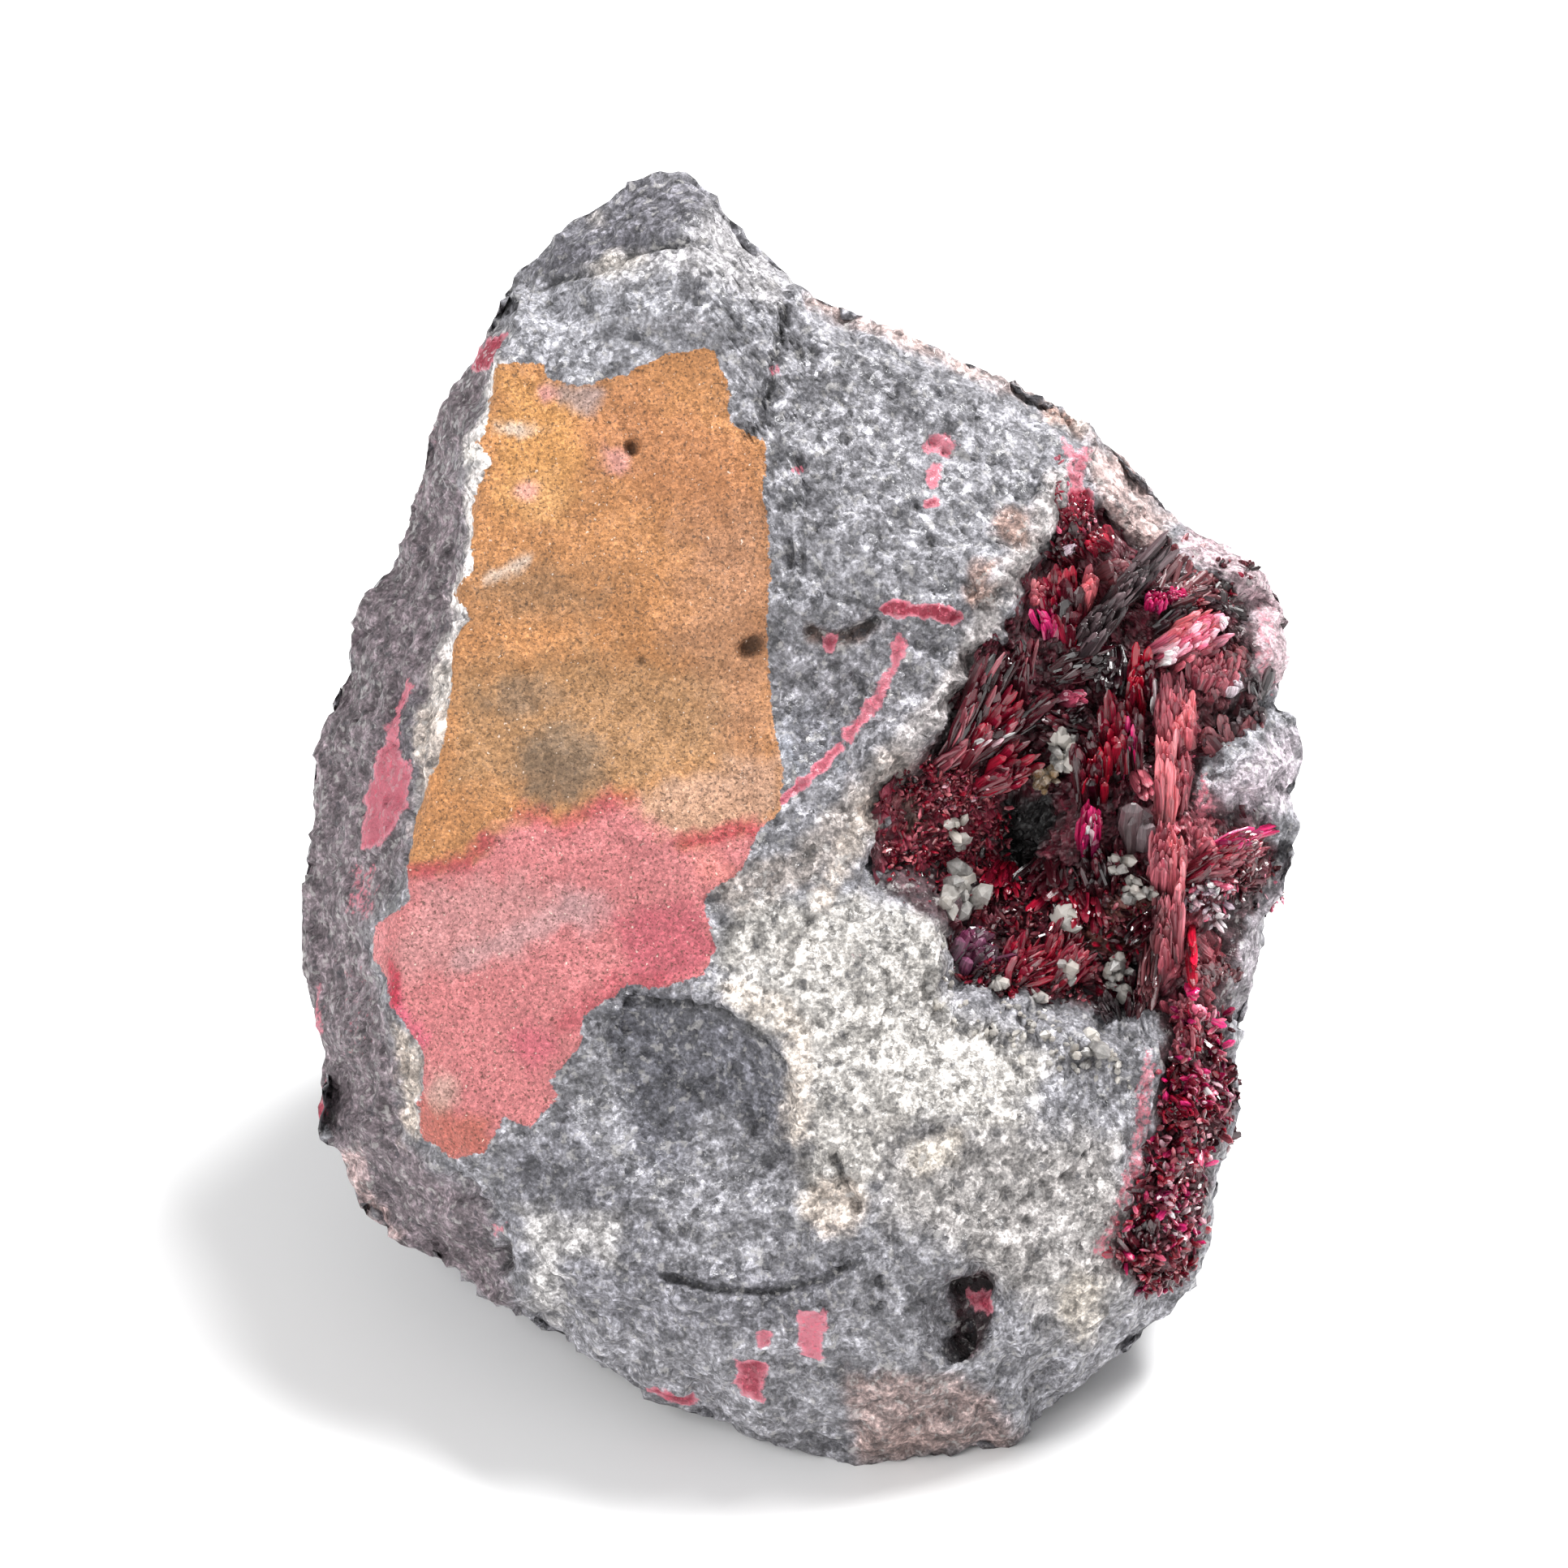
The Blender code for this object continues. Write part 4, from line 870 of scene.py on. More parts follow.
def crust_floor(name, outline, centre, landmarks, seed):
    """A closed crust: its top runs through landmarks and dips into the rock at its outline, and is
    roughened by cleaved facets of three sizes; its underside lies CRUST_DEPTH down in the rock."""
    dips = face_depth(np.array(outline, float)) - CRUST_DIP
    surface = facet_net([(*point, dip) for point, dip in zip(outline, dips)] + list(landmarks))

    def underside(pixels):
        return np.minimum(face_depth(pixels), surface(pixels)) - CRUST_DEPTH

    points, pixels, front = relief_points(
        crust_ball, outline, centre, surface, underside, CRUST_FRONT_ANGLE
    )
    normals = normals_of(points, crust_quads)
    large, _ = cleaved(points, 2.2, seed)
    small, _ = cleaved(points, 0.9, seed + 1)
    tiny, facet = cleaved(points, 0.45, seed + 2)
    lift = (0.3 * large + 0.22 * small + 0.14 * tiny) * np.where(front, 1, 0.2)
    points = points + normals * lift[:, None]
    tint = linear("#4a0f1e") * (1 + 0.35 * lattice_noise(points, 2.0, seed + 3)[:, None])
    tint = washed(tint, CRUST_WASHES, pixels, front, points, seed + 4)
    # painted shade from the relief: raised facets lighter and low ones darker, plus a random tone for each
    # facet
    tint = tint * (1 + 0.5 * np.clip(small + tiny, -1, 1) + 0.35 * (facet - 0.5))[:, None]
    lay = np.column_stack([pixels * MM_PER_PIXEL, facet])
    floor_piece = mesh_piece(
        name, points, [crust_quads], colours={"tint": np.clip(tint, 0, 0.9)}, vectors={"lay": lay}
    )
    return floor_piece, surface


crust_ball, crust_quads = ball_grid(CRUST_CELLS)
vug_floor, vug_surface = crust_floor("crust_in_the_hollow", VUG_OUTLINE, VUG_CENTRE, VUG_SURFACE, 71)
edge_floor, edge_surface = crust_floor(
    "crust_down_the_edge", EDGE_OUTLINE, EDGE_CENTRE, EDGE_SURFACE, 81
)


def crystal_material(name, roughness, transmission, glint_share, bump_mm):
    """Erythrite: its body colour from each crystal's tint, streaked along its length by noise 16 times
    finer across than along, with some crystals smoother than others."""
    material, tree = new_material(name)
    tint = add_node(tree, "ShaderNodeAttribute", attribute_name="tint").outputs["Color"]
    lay = add_node(tree, "ShaderNodeAttribute", attribute_name="lay").outputs["Vector"]
    stretched = add_node(
        tree, "ShaderNodeVectorMath", {0: lay, 1: (9.0, 0.7, 31.0)}, operation="MULTIPLY"
    )
    streaks = add_node(tree, "ShaderNodeTexNoise", {
        "Vector": stretched.outputs[0], "Scale": 1.0, "Detail": 3.0, "Roughness": 0.6,
    }).outputs["Fac"]
    shade = arithmetic(tree, "POWER", 7.0, arithmetic(tree, "MULTIPLY_ADD", streaks, 1.6, -0.8))
    shade = add_node(tree, "ShaderNodeCombineColor", {0: shade, 1: shade, 2: shade}).outputs[0]
    body = blend(tree, 1.0, tint, shade, "MULTIPLY")
    number = add_node(tree, "ShaderNodeSeparateXYZ", {"Vector": lay}).outputs["Z"]
    smoothness = ramp(tree, number, glint_share, glint_share + 0.1, roughness * 0.5, roughness)
    relief = add_node(tree, "ShaderNodeBump", {
        "Height": streaks, "Distance": bump_mm / 1000, "Strength": 1.0,
    }).outputs[0]
    shader = add_node(tree, "ShaderNodeBsdfPrincipled", {
        "Base Color": body, "Roughness": smoothness, "Normal": relief, "IOR": 1.66,
        "Transmission Weight": transmission,
    })
    add_node(tree, "ShaderNodeOutputMaterial", {"Surface": shader.outputs[0]})
    return material


mat_crust = crystal_material("fine-grained erythrite", 0.45, 0.0, 0.15, 0.05)
for piece in (vug_floor, edge_floor):
    piece.data.materials.append(mat_crust)
    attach(piece, "root")
    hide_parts("erythrite_crust")

# The blades: flat monoclinic prisms of erythrite, 2 to 9 mm long, in sheaves and fans that each grew
# from one point. They are glassy crimson to magenta, silky pink where fibrous, and dull dark grey in
# the feather-like sheaf across the top of the hollow.
BLADE_SECTION = ((1, 0), (0.6, 1), (-0.6, 1), (-1, 0), (-0.6, -1), (0.6, -1))
BLADE_STATIONS = ((0, 0.7), (0.5, 1), (0.88, 0.9), (1, 0.25))
TINTS = {
    "feather": ("#2b2024", "#3d3033", "#544346", "#35282b", "#6b5a5e"),
    "black": ("#12060a", "#1d050b", "#260a12", "#2c1a20"),
    "dark": ("#1d050b", "#3a0914", "#5a0f20", "#45101c"),
    "crimson": ("#7a1026", "#a0152f", "#5e0c1e", "#8c1430"),
    "red": ("#b3082a", "#8a0a22", "#5e0c1e", "#d01436"),
    "magenta": ("#c2185b", "#a3124a", "#e0307a", "#7a1040"),
    "pink": ("#d6607e", "#e590a5", "#b94d68", "#f0b9c6"),
    "salmon": ("#c9636b", "#b4555f", "#a14a56", "#d98087"),
    "rose": ("#a8505c", "#8c3d4a", "#b8606c", "#7a3440"),
    "maroon": ("#5b2a30", "#6e343a", "#4a1f26", "#7a4046"),
    "plum": ("#4d1c34", "#5c2440", "#3c1628", "#74405c"),
    "lavender": ("#9c8a96", "#b7a6b0", "#c5b8c0"),
    # painted highlights: near-white tints that stand for glints of light on crystal faces
    "painted_glints": ("#f3dfe4", "#e9c4ce", "#ffffff"),
}
# Root and tip in the photograph, fan in degrees, scatter of the roots in pixels, the tips' height over
# the crust in millimetres, the width in millimetres, how many, and their tints
GLASSY_SPRAYS = (
    ((1318, 808), (1312, 700), 34, 6, 1.6, 0.7, 60, "crimson"),
    ((1318, 800), (1322, 712), 16, 4, 2.2, 1.2, 10, "dark"),
    ((1305, 770), (1290, 700), 30, 12, 1.4, 0.6, 40, "crimson"),
    ((1300, 790), (1296, 740), 50, 12, 1.2, 0.5, 40, "magenta"),
    ((1330, 690), (1300, 655), 60, 14, 1.2, 0.6, 60, "dark"),
    ((1360, 680), (1345, 650), 60, 12, 1.0, 0.6, 40, "crimson"),
    ((1325, 660), (1320, 610), 40, 10, 1.0, 0.6, 40, "crimson"),
    ((1420, 752), (1430, 728), 24, 9, 1.4, 0.45, 60, "magenta"),
    ((1446, 745), (1454, 722), 24, 9, 1.4, 0.45, 60, "magenta"),
    ((1466, 738), (1470, 716), 24, 7, 1.2, 0.45, 40, "crimson"),
    ((1400, 880), (1404, 794), 10, 8, 2.6, 0.7, 44, "red"),
    ((1414, 870), (1418, 800), 8, 4, 2.6, 0.6, 16, "dark"),
    ((1420, 880), (1421, 822), 4, 2, 2.4, 0.4, 5, "painted_glints"),
    ((1378, 950), (1376, 850), 12, 12, 2.6, 0.7, 60, "crimson"),
    ((1398, 955), (1398, 868), 10, 8, 2.6, 0.6, 50, "dark"),
    ((1390, 960), (1392, 880), 8, 10, 2.8, 0.35, 18, "magenta"),
    ((1342, 990), (1340, 900), 12, 13, 3.0, 0.8, 60, "dark"),
    ((1350, 985), (1352, 915), 12, 12, 3.0, 0.6, 30, "red"),
    ((1340, 1055), (1346, 985), 14, 9, 2.6, 0.6, 40, "magenta"),
    ((1346, 1050), (1348, 1000), 14, 7, 2.9, 0.35, 16, "painted_glints"),
    ((1365, 1110), (1352, 1040), 30, 16, 2.0, 0.6, 50, "dark"),
    ((1375, 800), (1365, 870), 30, 12, 1.6, 0.8, 40, "black"),
    ((1300, 830), (1380, 800), 36, 14, 1.6, 0.7, 50, "dark"),
    ((1262, 860), (1258, 770), 14, 7, 2.2, 0.6, 26, "dark"),
    ((1250, 870), (1268, 780), 14, 6, 2.4, 0.4, 12, "rose"),
    ((1166, 945), (1240, 800), 12, 9, 2.6, 0.7, 46, "dark"),
    ((1166, 940), (1232, 810), 12, 8, 2.8, 0.4, 14, "rose"),
    ((1180, 945), (1262, 850), 20, 9, 2.8, 0.7, 46, "crimson"),
    ((1190, 935), (1300, 865), 18, 8, 2.6, 0.6, 46, "dark"),
    ((1150, 950), (1210, 905), 20, 8, 2.2, 0.5, 24, "rose"),
    ((1180, 935), (1260, 890), 12, 5, 3.2, 0.35, 10, "painted_glints"),
    ((1225, 860), (1262, 800), 20, 8, 2.2, 0.6, 36, "dark"),
    ((1304, 860), (1338, 856), 24, 5, 2.2, 0.5, 26, "pink"),
    ((1205, 975), (1275, 930), 30, 10, 2.6, 0.7, 50, "crimson"),
    ((1220, 965), (1268, 940), 20, 6, 3.0, 0.5, 20, "dark"),
    ((1340, 905), (1275, 885), 30, 10, 2.0, 0.7, 40, "dark"),
    ((1290, 900), (1340, 875), 20, 7, 2.0, 0.6, 24, "black"),
    ((1300, 1060), (1280, 1120), 80, 22, 1.8, 0.6, 70, "dark"),
    ((1240, 1060), (1230, 1110), 70, 14, 1.8, 0.5, 50, "crimson"),
    ((1330, 1090), (1310, 1150), 80, 20, 1.8, 0.5, 80, "crimson"),
    ((1180, 1190), (1225, 1145), 60, 20, 1.4, 0.9, 50, "plum"),
    ((1240, 1210), (1290, 1160), 60, 16, 1.8, 0.5, 80, "crimson"),
    ((1290, 1210), (1345, 1150), 60, 18, 1.8, 0.5, 90, "crimson"),
    ((1200, 1225), (1235, 1200), 60, 14, 1.2, 0.5, 50, "dark"),
    ((1380, 1268), (1350, 1222), 34, 6, 2.2, 0.5, 44, "feather"),
    ((1395, 1262), (1400, 1200), 20, 5, 2.4, 0.5, 16, "dark"),
    ((1420, 1165), (1408, 1255), 10, 9, 2.0, 0.4, 70, "maroon"),
    ((1425, 1120), (1385, 1165), 24, 8, 2.2, 0.4, 50, "dark"),
    ((1468, 1130), (1470, 1220), 6, 3, 2.6, 0.7, 14, "red"),
    ((1469, 1218), (1469, 1232), 30, 2, 2.8, 1.1, 6, "magenta"),
    ((1455, 1080), (1570, 1020), 12, 9, 1.8, 0.6, 60, "crimson"),
    ((1490, 1050), (1575, 1018), 8, 6, 2.2, 0.5, 30, "magenta"),
    ((1480, 1075), (1560, 1050), 16, 8, 1.8, 0.5, 40, "rose"),
    ((1530, 1090), (1560, 1060), 50, 14, 1.4, 0.5, 50, "maroon"),
    ((1440, 1352), (1462, 1388), 60, 12, 1.6, 0.5, 50, "crimson"),
    ((1452, 1380), (1432, 1352), 40, 8, 1.8, 0.5, 40, "dark"),
    ((1470, 1300), (1450, 1260), 60, 14, 1.4, 0.5, 50, "rose"),
    ((1410, 1545), (1400, 1500), 70, 14, 1.4, 0.5, 60, "dark"),
)
SILKY_SPRAYS = (
    ((1322, 822), (1400, 722), 7, 6, 3.2, 0.5, 46, "feather"),
    ((1362, 752), (1442, 668), 8, 11, 3.6, 0.6, 80, "feather"),
    ((1324, 796), (1366, 745), 10, 10, 2.6, 0.55, 44, "feather"),
    ((1366, 745), (1410, 692), 8, 7, 3.0, 0.6, 30, "feather"),
    ((1398, 706), (1416, 672), 10, 4, 2.6, 0.5, 12, "black"),
    ((1434, 680), (1438, 655), 10, 4, 2.4, 0.5, 10, "feather"),
    ((1424, 690), (1432, 662), 8, 3, 2.6, 0.5, 6, "salmon"),
    ((1336, 755), (1350, 693), 8, 5, 2.6, 0.6, 24, "salmon"),
    ((1278, 745), (1284, 716), 20, 7, 1.4, 0.5, 30, "salmon"),
    ((1356, 715), (1398, 695), 24, 8, 1.6, 1.1, 36, "maroon"),
    ((1300, 686), (1330, 672), 14, 4, 1.6, 0.35, 20, "lavender"),
    ((1440, 735), (1500, 690), 80, 22, 1.2, 0.6, 120, "maroon"),
    ((1500, 745), (1530, 720), 80, 14, 1.2, 0.6, 60, "dark"),
    ((1424, 775), (1480, 736), 14, 4, 1.6, 0.5, 30, "black"),
    ((1480, 738), (1536, 758), 14, 4, 1.6, 0.5, 30, "black"),
    ((1424, 808), (1512, 762), 14, 14, 2.4, 0.7, 80, "pink"),
    ((1430, 800), (1500, 756), 14, 10, 2.6, 0.6, 40, "salmon"),
    ((1444, 818), (1500, 790), 12, 8, 2.0, 0.6, 40, "rose"),
    ((1424, 815), (1460, 800), 20, 6, 2.4, 0.6, 14, "painted_glints"),
    ((1500, 770), (1514, 760), 40, 6, 2.6, 0.6, 14, "painted_glints"),
    ((1490, 850), (1500, 800), 50, 22, 1.4, 0.6, 120, "rose"),
    ((1530, 840), (1528, 790), 40, 12, 1.4, 0.7, 60, "maroon"),
    ((1516, 856), (1530, 826), 8, 2, 2.2, 0.8, 5, "lavender"),
    ((1545, 860), (1545, 800), 50, 12, 1.2, 0.6, 60, "feather"),
    ((1520, 940), (1510, 880), 70, 20, 1.6, 0.9, 90, "maroon"),
    ((1545, 900), (1535, 870), 80, 12, 1.4, 0.6, 50, "feather"),
    ((1440, 930), (1444, 830), 14, 14, 1.8, 0.5, 120, "rose"),
    ((1436, 1010), (1438, 900), 8, 9, 2.2, 0.5, 80, "salmon"),
    ((1462, 920), (1456, 850), 20, 10, 2.0, 0.5, 50, "salmon"),
    ((1452, 1000), (1460, 930), 20, 10, 2.0, 0.5, 50, "rose"),
    ((1398, 945), (1420, 988), 12, 7, 2.4, 0.6, 30, "rose"),
    ((1430, 1100), (1432, 1010), 8, 10, 2.6, 0.5, 90, "rose"),
    ((1448, 1110), (1450, 1020), 8, 8, 2.4, 0.5, 60, "salmon"),
    ((1440, 1210), (1444, 1100), 7, 12, 2.2, 0.45, 130, "rose"),
    ((1428, 1180), (1432, 1100), 7, 8, 2.4, 0.45, 60, "maroon"),
    ((1395, 1058), (1398, 985), 6, 5, 3.8, 2.2, 5, "feather"),
    ((1485, 1065), (1510, 1035), 60, 18, 1.4, 0.6, 60, "rose"),
    ((1475, 1255), (1488, 1240), 50, 8, 2.0, 0.5, 26, "pink"),
    ((1500, 1215), (1500, 1180), 80, 18, 1.4, 0.6, 110, "maroon"),
    ((1455, 1260), (1450, 1225), 50, 12, 1.4, 0.5, 60, "rose"),
    ((1370, 1290), (1362, 1262), 40, 6, 1.6, 0.4, 24, "salmon"),
)


def pick_tints(names, draw):
    """A linear tint for each named set, drawn at random from it and a little lighter or darker."""
    chosen = np.empty((len(names), 3))
    for k, name in enumerate(names):
        chosen[k] = linear(TINTS[name][draw.integers(len(TINTS[name]))])
    return chosen * draw.uniform(0.7, 1.25, len(names))[:, None]


def prism_mesh(name, low, high, half_width, half_thickness, roll, bow, tint, draw,
               section=BLADE_SECTION, stations=BLADE_STATIONS):
    """Crystals from low to high in millimetres. Each has the section's outline at each station, a share
    of its length and of its size, set across the blade's side and out directions, and its axis is
    bowed sideways by 4 s (1 - s)."""
    ahead = high - low
    length = np.linalg.norm(ahead, axis=1, keepdims=True)
    ahead = ahead / length
    side = np.cross(TOWARDS_VIEWER, ahead)
    side /= np.maximum(np.linalg.norm(side, axis=1, keepdims=True), 1e-6)
    out = np.cross(ahead, side)
    cosine, sine = np.cos(roll)[:, None], np.sin(roll)[:, None]
    side, out = side * cosine + out * sine, out * cosine - side * sine
    stations = np.array(stations, float)
    section = np.array(section, float)
    share, size = stations[:, 0], stations[:, 1]
    axis = low[:, None] + ahead[:, None] * (length * share)[..., None]
    axis = axis + side[:, None] * (bow[:, None] * 4 * share * (1 - share))[..., None]
    wide = half_width[:, None, None] * size[None, :, None] * section[None, None, :, 0]
    thick = half_thickness[:, None, None] * size[None, :, None] * section[None, None, :, 1]
    points = axis[:, :, None] + wide[..., None] * side[:, None, None] + thick[..., None] * out[:, None, None]
    count, rings, corners = points.shape[:3]
    number = np.arange(count * rings * corners).reshape(count, rings, corners)
    after = np.roll(number, -1, axis=2)
    walls = np.stack([number[:, :-1], after[:, :-1], after[:, 1:], number[:, 1:]], axis=-1)
    caps = np.concatenate([number[:, 0, ::-1], number[:, -1]])
    random = draw.random(count)
    lay = np.stack([
        wide + 40 * random[:, None, None],
        np.broadcast_to((length * share)[:, :, None], wide.shape),
        np.broadcast_to(random[:, None, None], wide.shape),
    ], axis=-1)
    # painted shade: tints darker towards the root, where the blades stand down in the crust, and a little
    # lighter at the tip
    fade = np.interp(share, (0, 0.3, 1), (0.55, 0.95, 1.1))
    tints = tint[:, None, None, :] * fade[None, :, None, None] * np.ones((1, 1, corners, 1))
    return mesh_piece(
        name, points.reshape(-1, 3), [walls.reshape(-1, 4), caps],
        colours={"tint": np.clip(tints, 0, 0.95).reshape(-1, 3)}, vectors={"lay": lay.reshape(-1, 3)},
    )


def crust_depth(pixels):
    """The depth of the crust between the blades: the nearer of its two parts."""
    on_edge = EDGE_AREA(pixels) > 0
    return np.where(on_edge, np.maximum(edge_surface(pixels), vug_surface(pixels) - 1), vug_surface(pixels))


def spray_blades(name, rows, seed):
    """Blades of many sprays at once: each row's blades start about its root and run towards its tip,
    turned within its fan, 0.5 to 1.05 of its length, from just under the crust to its lift."""
    draw = np.random.default_rng(seed)
    count = np.array([row[6] for row in rows])

    def spread(column):
        return np.repeat(np.array([row[column] for row in rows], float), count, axis=0)

    total = count.sum()
    root, tip = spread(0), spread(1)
    fan, scatter, lift, width = (spread(k) for k in (2, 3, 4, 5))
    away = tip - root
    turn = np.radians(fan) * draw.uniform(-0.5, 0.5, total)
    cosine, sine = np.cos(turn), np.sin(turn)
    turned = np.column_stack([
        away[:, 0] * cosine - away[:, 1] * sine, away[:, 0] * sine + away[:, 1] * cosine,
    ])
    across = np.column_stack([-away[:, 1], away[:, 0]]) / np.linalg.norm(away, axis=1, keepdims=True)
    start = root + across * (scatter * draw.uniform(-1, 1, total))[:, None]
    start = start + turned * draw.uniform(-0.08, 0.35, total)[:, None]
    end = start + turned * draw.uniform(0.3, 0.75, total)[:, None]
    end_height = lift * draw.uniform(0.35, 1.0, total)
    low = to_part_frame(start, crust_depth(start) + draw.uniform(-0.4, 0.3, total)) * 1000
    high = to_part_frame(end, crust_depth(end) + end_height) * 1000
    half_width = width / 2 * draw.uniform(0.55, 1.35, total)
    names = np.repeat([row[7] for row in rows], count)
    return prism_mesh(
        name, low, high, half_width, half_width * draw.uniform(0.25, 0.5, total),
        np.radians(draw.uniform(-55, 55, total)), draw.normal(0, 0.12, total),
        pick_tints(names, draw), draw,
    )


EDGE_AREA = area(*EDGE_OUTLINE)
mat_glassy = crystal_material("glassy erythrite blades", 0.2, 0.25, 0.3, 0.03)
mat_silky = crystal_material("silky fibrous erythrite", 0.38, 0.0, 0.12, 0.05)
glassy_blades = spray_blades("glassy_blades", GLASSY_SPRAYS, 91)
glassy_blades.data.materials.append(mat_glassy)
silky_blades = spray_blades("silky_blades", SILKY_SPRAYS, 92)
silky_blades.data.materials.append(mat_silky)

# The druse: stubby crystals under 1 mm long that stand at every angle, over the edge's crust and the
# powdery places of the hollow, with bright faces that catch the light; some take near-white tints as painted
# highlights.
DRUSE_SECTION = ((1, 0.2), (0.3, 1), (-0.8, 0.7), (-1, -0.3), (-0.2, -1), (0.8, -0.7))
DRUSE_STATIONS = ((0, 0.8), (0.7, 1), (1, 0.3))
DRUSE_FIELDS = (
    (EDGE_AREA, (1360, 1240, 1520, 1595), 900, 0.8, ("crimson", "crimson", "dark", "rose", "magenta", "pink")),
    (patch(1478, 1338, 18, 22), (1455, 1315, 1500, 1362), 90, 0.9, ("magenta", "pink", "painted_glints", "crimson")),
    (patch(1455, 1480, 26, 60), (1425, 1420, 1485, 1540), 160, 0.7, ("pink", "painted_glints", "magenta", "crimson")),
    (patch(1425, 1560, 40, 26), (1385, 1535, 1465, 1590), 160, 0.7, ("salmon", "maroon", "crimson", "rose")),
    (area((1083, 985), (1130, 930), (1200, 955), (1246, 1000), (1240, 1090), (1210, 1135), (1100, 1115)),
     (1083, 930, 1246, 1135), 900, 0.55, ("crimson", "crimson", "rose", "dark", "salmon")),
    (patch(1185, 975, 28, 26), (1155, 950, 1215, 1000), 160, 0.5, ("rose", "salmon", "pink", "crimson")),
    (area((1250, 1090), (1390, 1060), (1420, 1150), (1360, 1240), (1190, 1230), (1175, 1190)),
     (1175, 1060, 1420, 1240), 900, 0.6, ("crimson", "dark", "rose", "crimson", "maroon")),
    (patch(1488, 1112, 28, 27), (1460, 1085, 1516, 1140), 150, 0.8, ("painted_glints", "painted_glints", "pink", "lavender")),
    (patch(1545, 1090, 36, 40), (1510, 1050, 1580, 1130), 220, 0.6, ("rose", "maroon", "pink", "dark")),
    (patch(1500, 720, 50, 26, 30), (1450, 690, 1550, 760), 220, 0.6, ("maroon", "dark", "crimson")),
    (area((1300, 560), (1335, 590), (1350, 640), (1335, 668), (1300, 650)), (1300, 560, 1350, 668), 220, 0.5,
     ("crimson", "rose", "pink", "crimson")),
    (patch(1420, 900, 60, 100), (1360, 800, 1480, 1000), 160, 0.4, ("crimson", "pink", "dark")),
)


def scattered(fields, draw):
    """Pixels at random inside each field's shape, their sizes, and the tint sets they take."""
    pixels, sizes, names = [], [], []
    for shape, (left, top, right, bottom), count, size, tints in fields:
        tries = draw.uniform((left, top), (right, bottom), (count * 4, 2))
        kept = tries[shape(tries) > 0][:count]
        pixels.append(kept)
        sizes.append(np.full(len(kept), size))
        names += [tints[k] for k in draw.integers(len(tints), size=len(kept))]
    return np.concatenate(pixels), np.concatenate(sizes), names


draw = np.random.default_rng(95)
druse_pixels, druse_size, druse_names = scattered(DRUSE_FIELDS, draw)
count = len(druse_pixels)
heading = draw.normal(size=(count, 3))
heading /= np.linalg.norm(heading, axis=1, keepdims=True)
heading = heading + 0.5 * TOWARDS_VIEWER
length = druse_size * draw.uniform(0.5, 1.4, count)
low = to_part_frame(druse_pixels, crust_depth(druse_pixels) + draw.uniform(-0.1, 0.5, count)) * 1000
druse = prism_mesh(
    "crimson_druse", low, low + heading * length[:, None], length * draw.uniform(0.16, 0.34, count),
    length * draw.uniform(0.1, 0.24, count), draw.uniform(-3.1, 3.1, count), np.zeros(count),
    pick_tints(druse_names, draw), draw, DRUSE_SECTION, DRUSE_STATIONS,
)
druse.data.materials.append(mat_glassy)
for piece in (glassy_blades, silky_blades, druse):
    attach(piece, "root")
    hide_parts("erythrite_crust")

# Quartz: small milky to clear crystals, 0.5 to 3 mm, that grew among the blades and along the lower
# edge of the hollow. Six-sided, with pointed ends.
QUARTZ_SECTION = tuple((math.cos(k * math.pi / 3), math.sin(k * math.pi / 3)) for k in range(6))
QUARTZ_STATIONS = ((0, 0.9), (0.6, 1), (1, 0.06))
QUARTZ_FIELDS = (
    (patch(1310, 925, 17, 24, 10), (1290, 900, 1330, 950), 26, 1.6, ("quartz",)),
    (patch(1286, 962, 14, 16, 40), (1270, 945, 1300, 980), 12, 1.3, ("tan",)),
    (patch(1188, 1100, 26, 28), (1160, 1070, 1216, 1130), 16, 2.2, ("quartz",)),
    (patch(1180, 1030, 15, 18), (1165, 1012, 1196, 1050), 10, 1.4, ("quartz",)),
    (patch(1310, 1132, 16, 14), (1294, 1117, 1326, 1147), 5, 2.2, ("quartz",)),
    (patch(1380, 1063, 12, 11), (1368, 1052, 1393, 1075), 8, 1.3, ("quartz",)),
    (patch(1402, 1096, 20, 15), (1383, 1081, 1424, 1112), 14, 1.3, ("quartz",)),
    (patch(1320, 1194, 8, 11), (1312, 1183, 1329, 1206), 5, 1.6, ("quartz",)),
    (patch(1376, 1205, 13, 30), (1362, 1175, 1390, 1236), 18, 1.5, ("quartz",)),
    (patch(1226, 1215, 8, 10), (1218, 1205, 1235, 1226), 4, 1.3, ("quartz",)),
    (patch(1275, 1230, 7, 9), (1268, 1221, 1283, 1240), 4, 1.3, ("quartz",)),
    (patch(1335, 1288, 18, 18), (1318, 1270, 1354, 1308), 10, 1.8, ("quartz",)),
    (patch(1300, 1262, 12, 16), (1288, 1246, 1312, 1278), 8, 1.3, ("quartz",)),
    (area((1160, 1140), (1180, 1215), (1290, 1245), (1380, 1300), (1420, 1330), (1380, 1350), (1250, 1300),
          (1140, 1240)), (1140, 1140, 1420, 1350), 110, 0.8, ("quartz",)),
)
TINTS["quartz"] = ("#cfc8bf", "#b9b4ae", "#dcd6ce", "#a8a5a2")
TINTS["tan"] = ("#a98a62", "#8f6f4c")
draw = np.random.default_rng(97)
quartz_pixels, quartz_size, quartz_names = scattered(QUARTZ_FIELDS, draw)
count = len(quartz_pixels)
in_crust = area(*VUG_OUTLINE)(quartz_pixels) > 0
stand = np.where(in_crust, crust_depth(quartz_pixels) + 0.9, face_depth(quartz_pixels))
heading = draw.normal(size=(count, 3))
heading /= np.linalg.norm(heading, axis=1, keepdims=True)
heading = 0.7 * heading + 0.7 * TOWARDS_VIEWER
length = quartz_size * draw.uniform(0.6, 1.2, count)
low = to_part_frame(quartz_pixels, stand - 0.3) * 1000
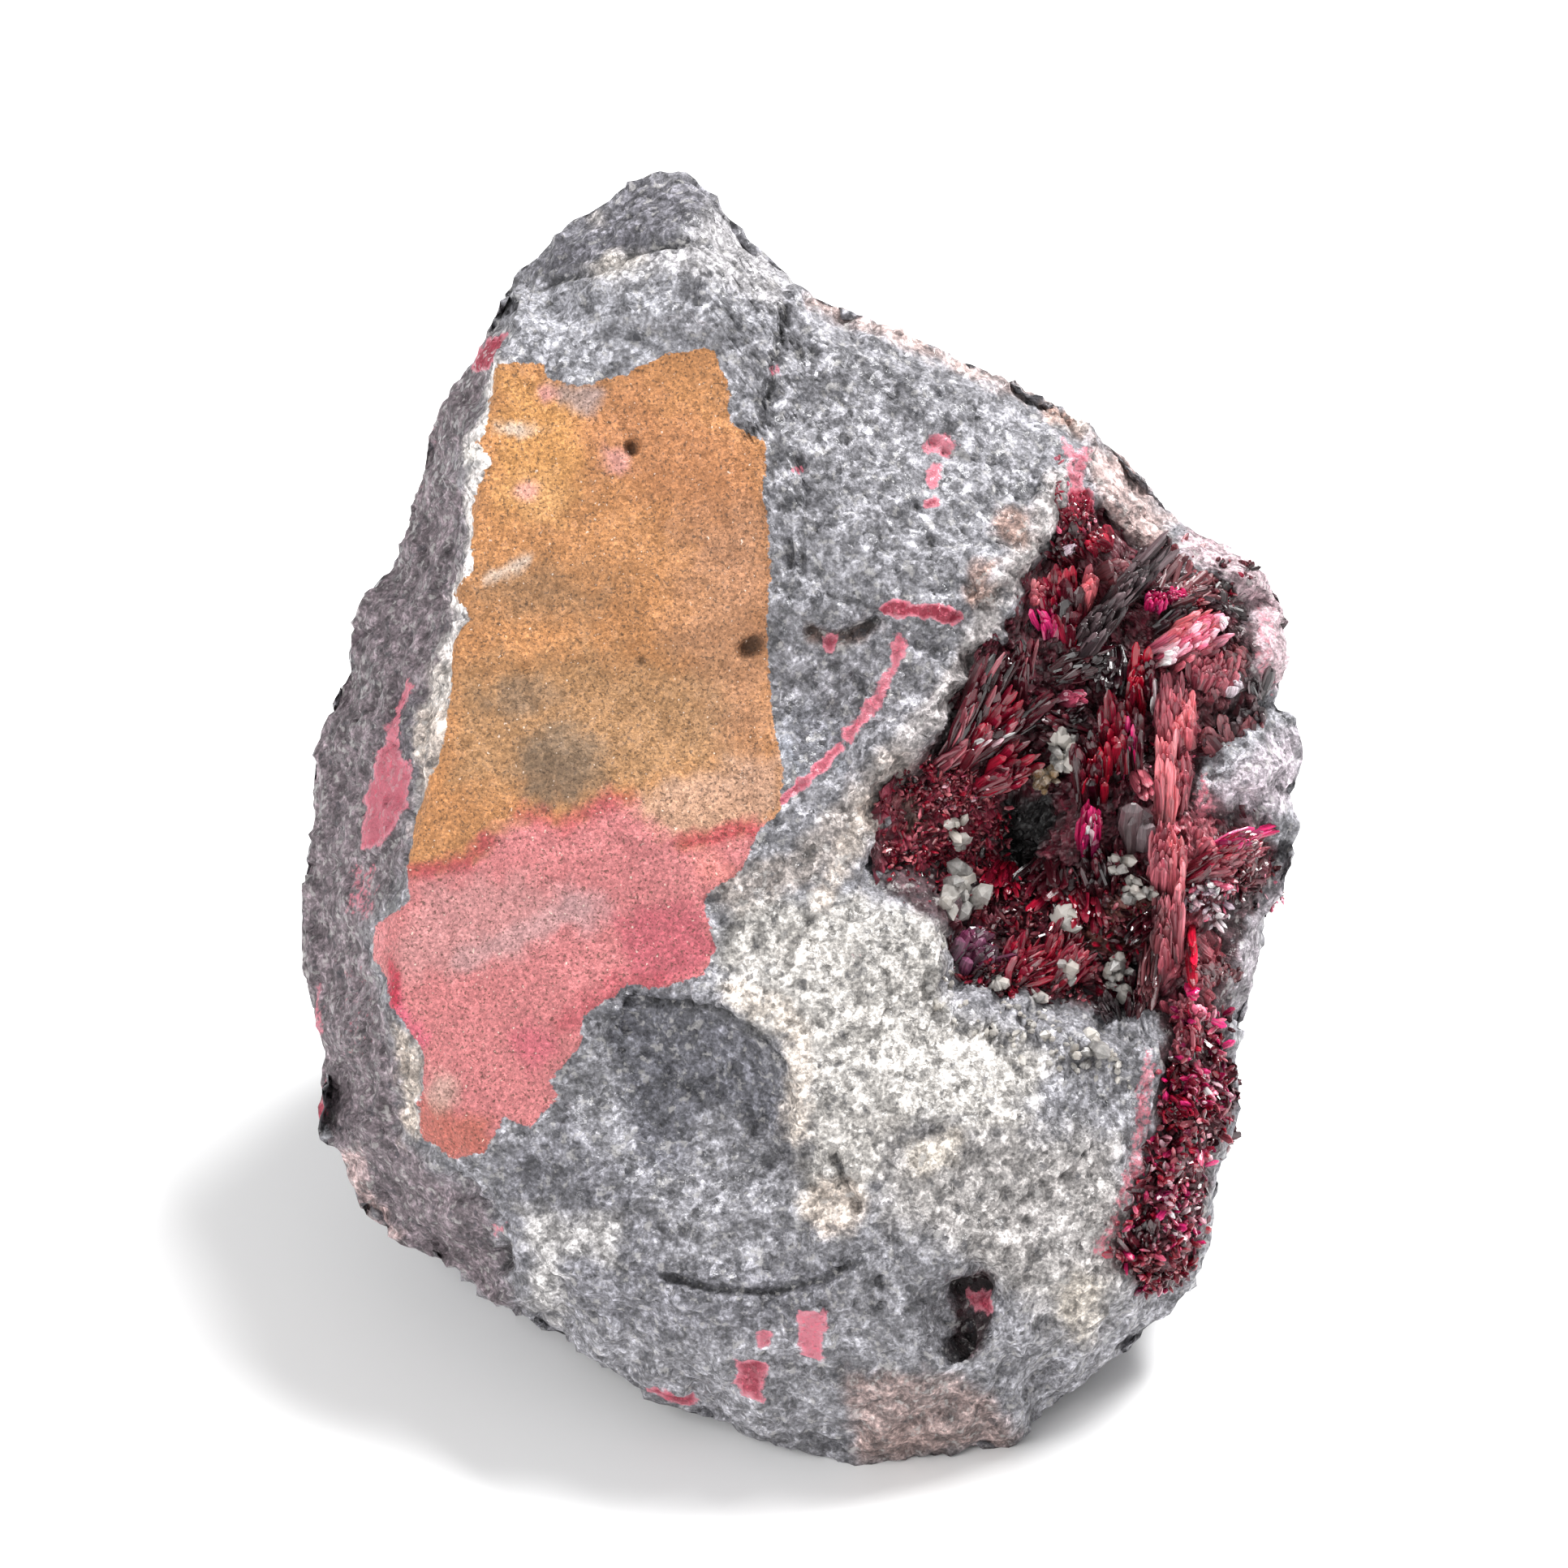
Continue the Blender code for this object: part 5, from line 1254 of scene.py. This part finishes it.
half = length * draw.uniform(0.22, 0.34, count)
quartz = prism_mesh(
    "quartz_crystals", low, low + heading * length[:, None], half, half,
    draw.uniform(-3.1, 3.1, count), np.zeros(count), pick_tints(quartz_names, draw), draw,
    QUARTZ_SECTION, QUARTZ_STATIONS,
)
milky, tree = new_material("milky quartz crystal")
tint = add_node(tree, "ShaderNodeAttribute", attribute_name="tint").outputs["Color"]
place = add_node(tree, "ShaderNodeTexCoord").outputs["Object"]
veil = noise_of(tree, place, 0.5, 3.0, 0.6)
veiled = blend(tree, ramp(tree, veil, 0.35, 0.7, 0.0, 0.5), tint, rgba("#efebe6"))
relief = add_node(
    tree, "ShaderNodeBump", {"Height": veil, "Distance": 0.00004, "Strength": 1.0}
).outputs[0]
shader = add_node(tree, "ShaderNodeBsdfPrincipled", {
    "Base Color": veiled, "Roughness": 0.22, "IOR": 1.544, "Transmission Weight": 0.45, "Normal": relief,
})
add_node(tree, "ShaderNodeOutputMaterial", {"Surface": shader.outputs[0]})
quartz.data.materials.append(milky)
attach(quartz, "root")
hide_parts("erythrite_crust")

# The floor and the light: a plain pale sweep, one broad soft light from above and behind on the
# right, a weaker one from the left, and an even pale surround.
bpy.ops.mesh.primitive_plane_add(size=6.0, location=(0, 0, 0))
floor = bpy.context.object
floor.name = "floor"
paper, tree = new_material("matt white paper")
shader = add_node(tree, "ShaderNodeBsdfPrincipled", {"Base Color": rgba("#f2f2f2"), "Roughness": 0.9})
add_node(tree, "ShaderNodeOutputMaterial", {"Surface": shader.outputs[0]})
floor.data.materials.append(paper)


def soft_light(name, place, size, watts):
    """A square light at a place in metres, turned to face the specimen."""
    data = bpy.data.lights.new(name, "AREA")
    data.shape = "SQUARE"
    data.size = size
    data.energy = watts
    lamp = bpy.data.objects.new(name, data)
    bpy.context.scene.collection.objects.link(lamp)
    lamp.location = place
    lamp.rotation_euler = (Vector((0, 0, 0.04)) - Vector(place)).to_track_quat("-Z", "Y").to_euler()


soft_light("key light", (0.35, 0.25, 0.75), 0.35, 13)
soft_light("fill light", (-0.55, -0.45, 0.5), 0.6, 4.5)
surround = bpy.data.worlds.new("pale surround")
bpy.context.scene.world = surround
surround.use_nodes = True
surround.node_tree.nodes["Background"].inputs["Color"].default_value = (1, 1, 1, 1)
surround.node_tree.nodes["Background"].inputs["Strength"].default_value = 0.55
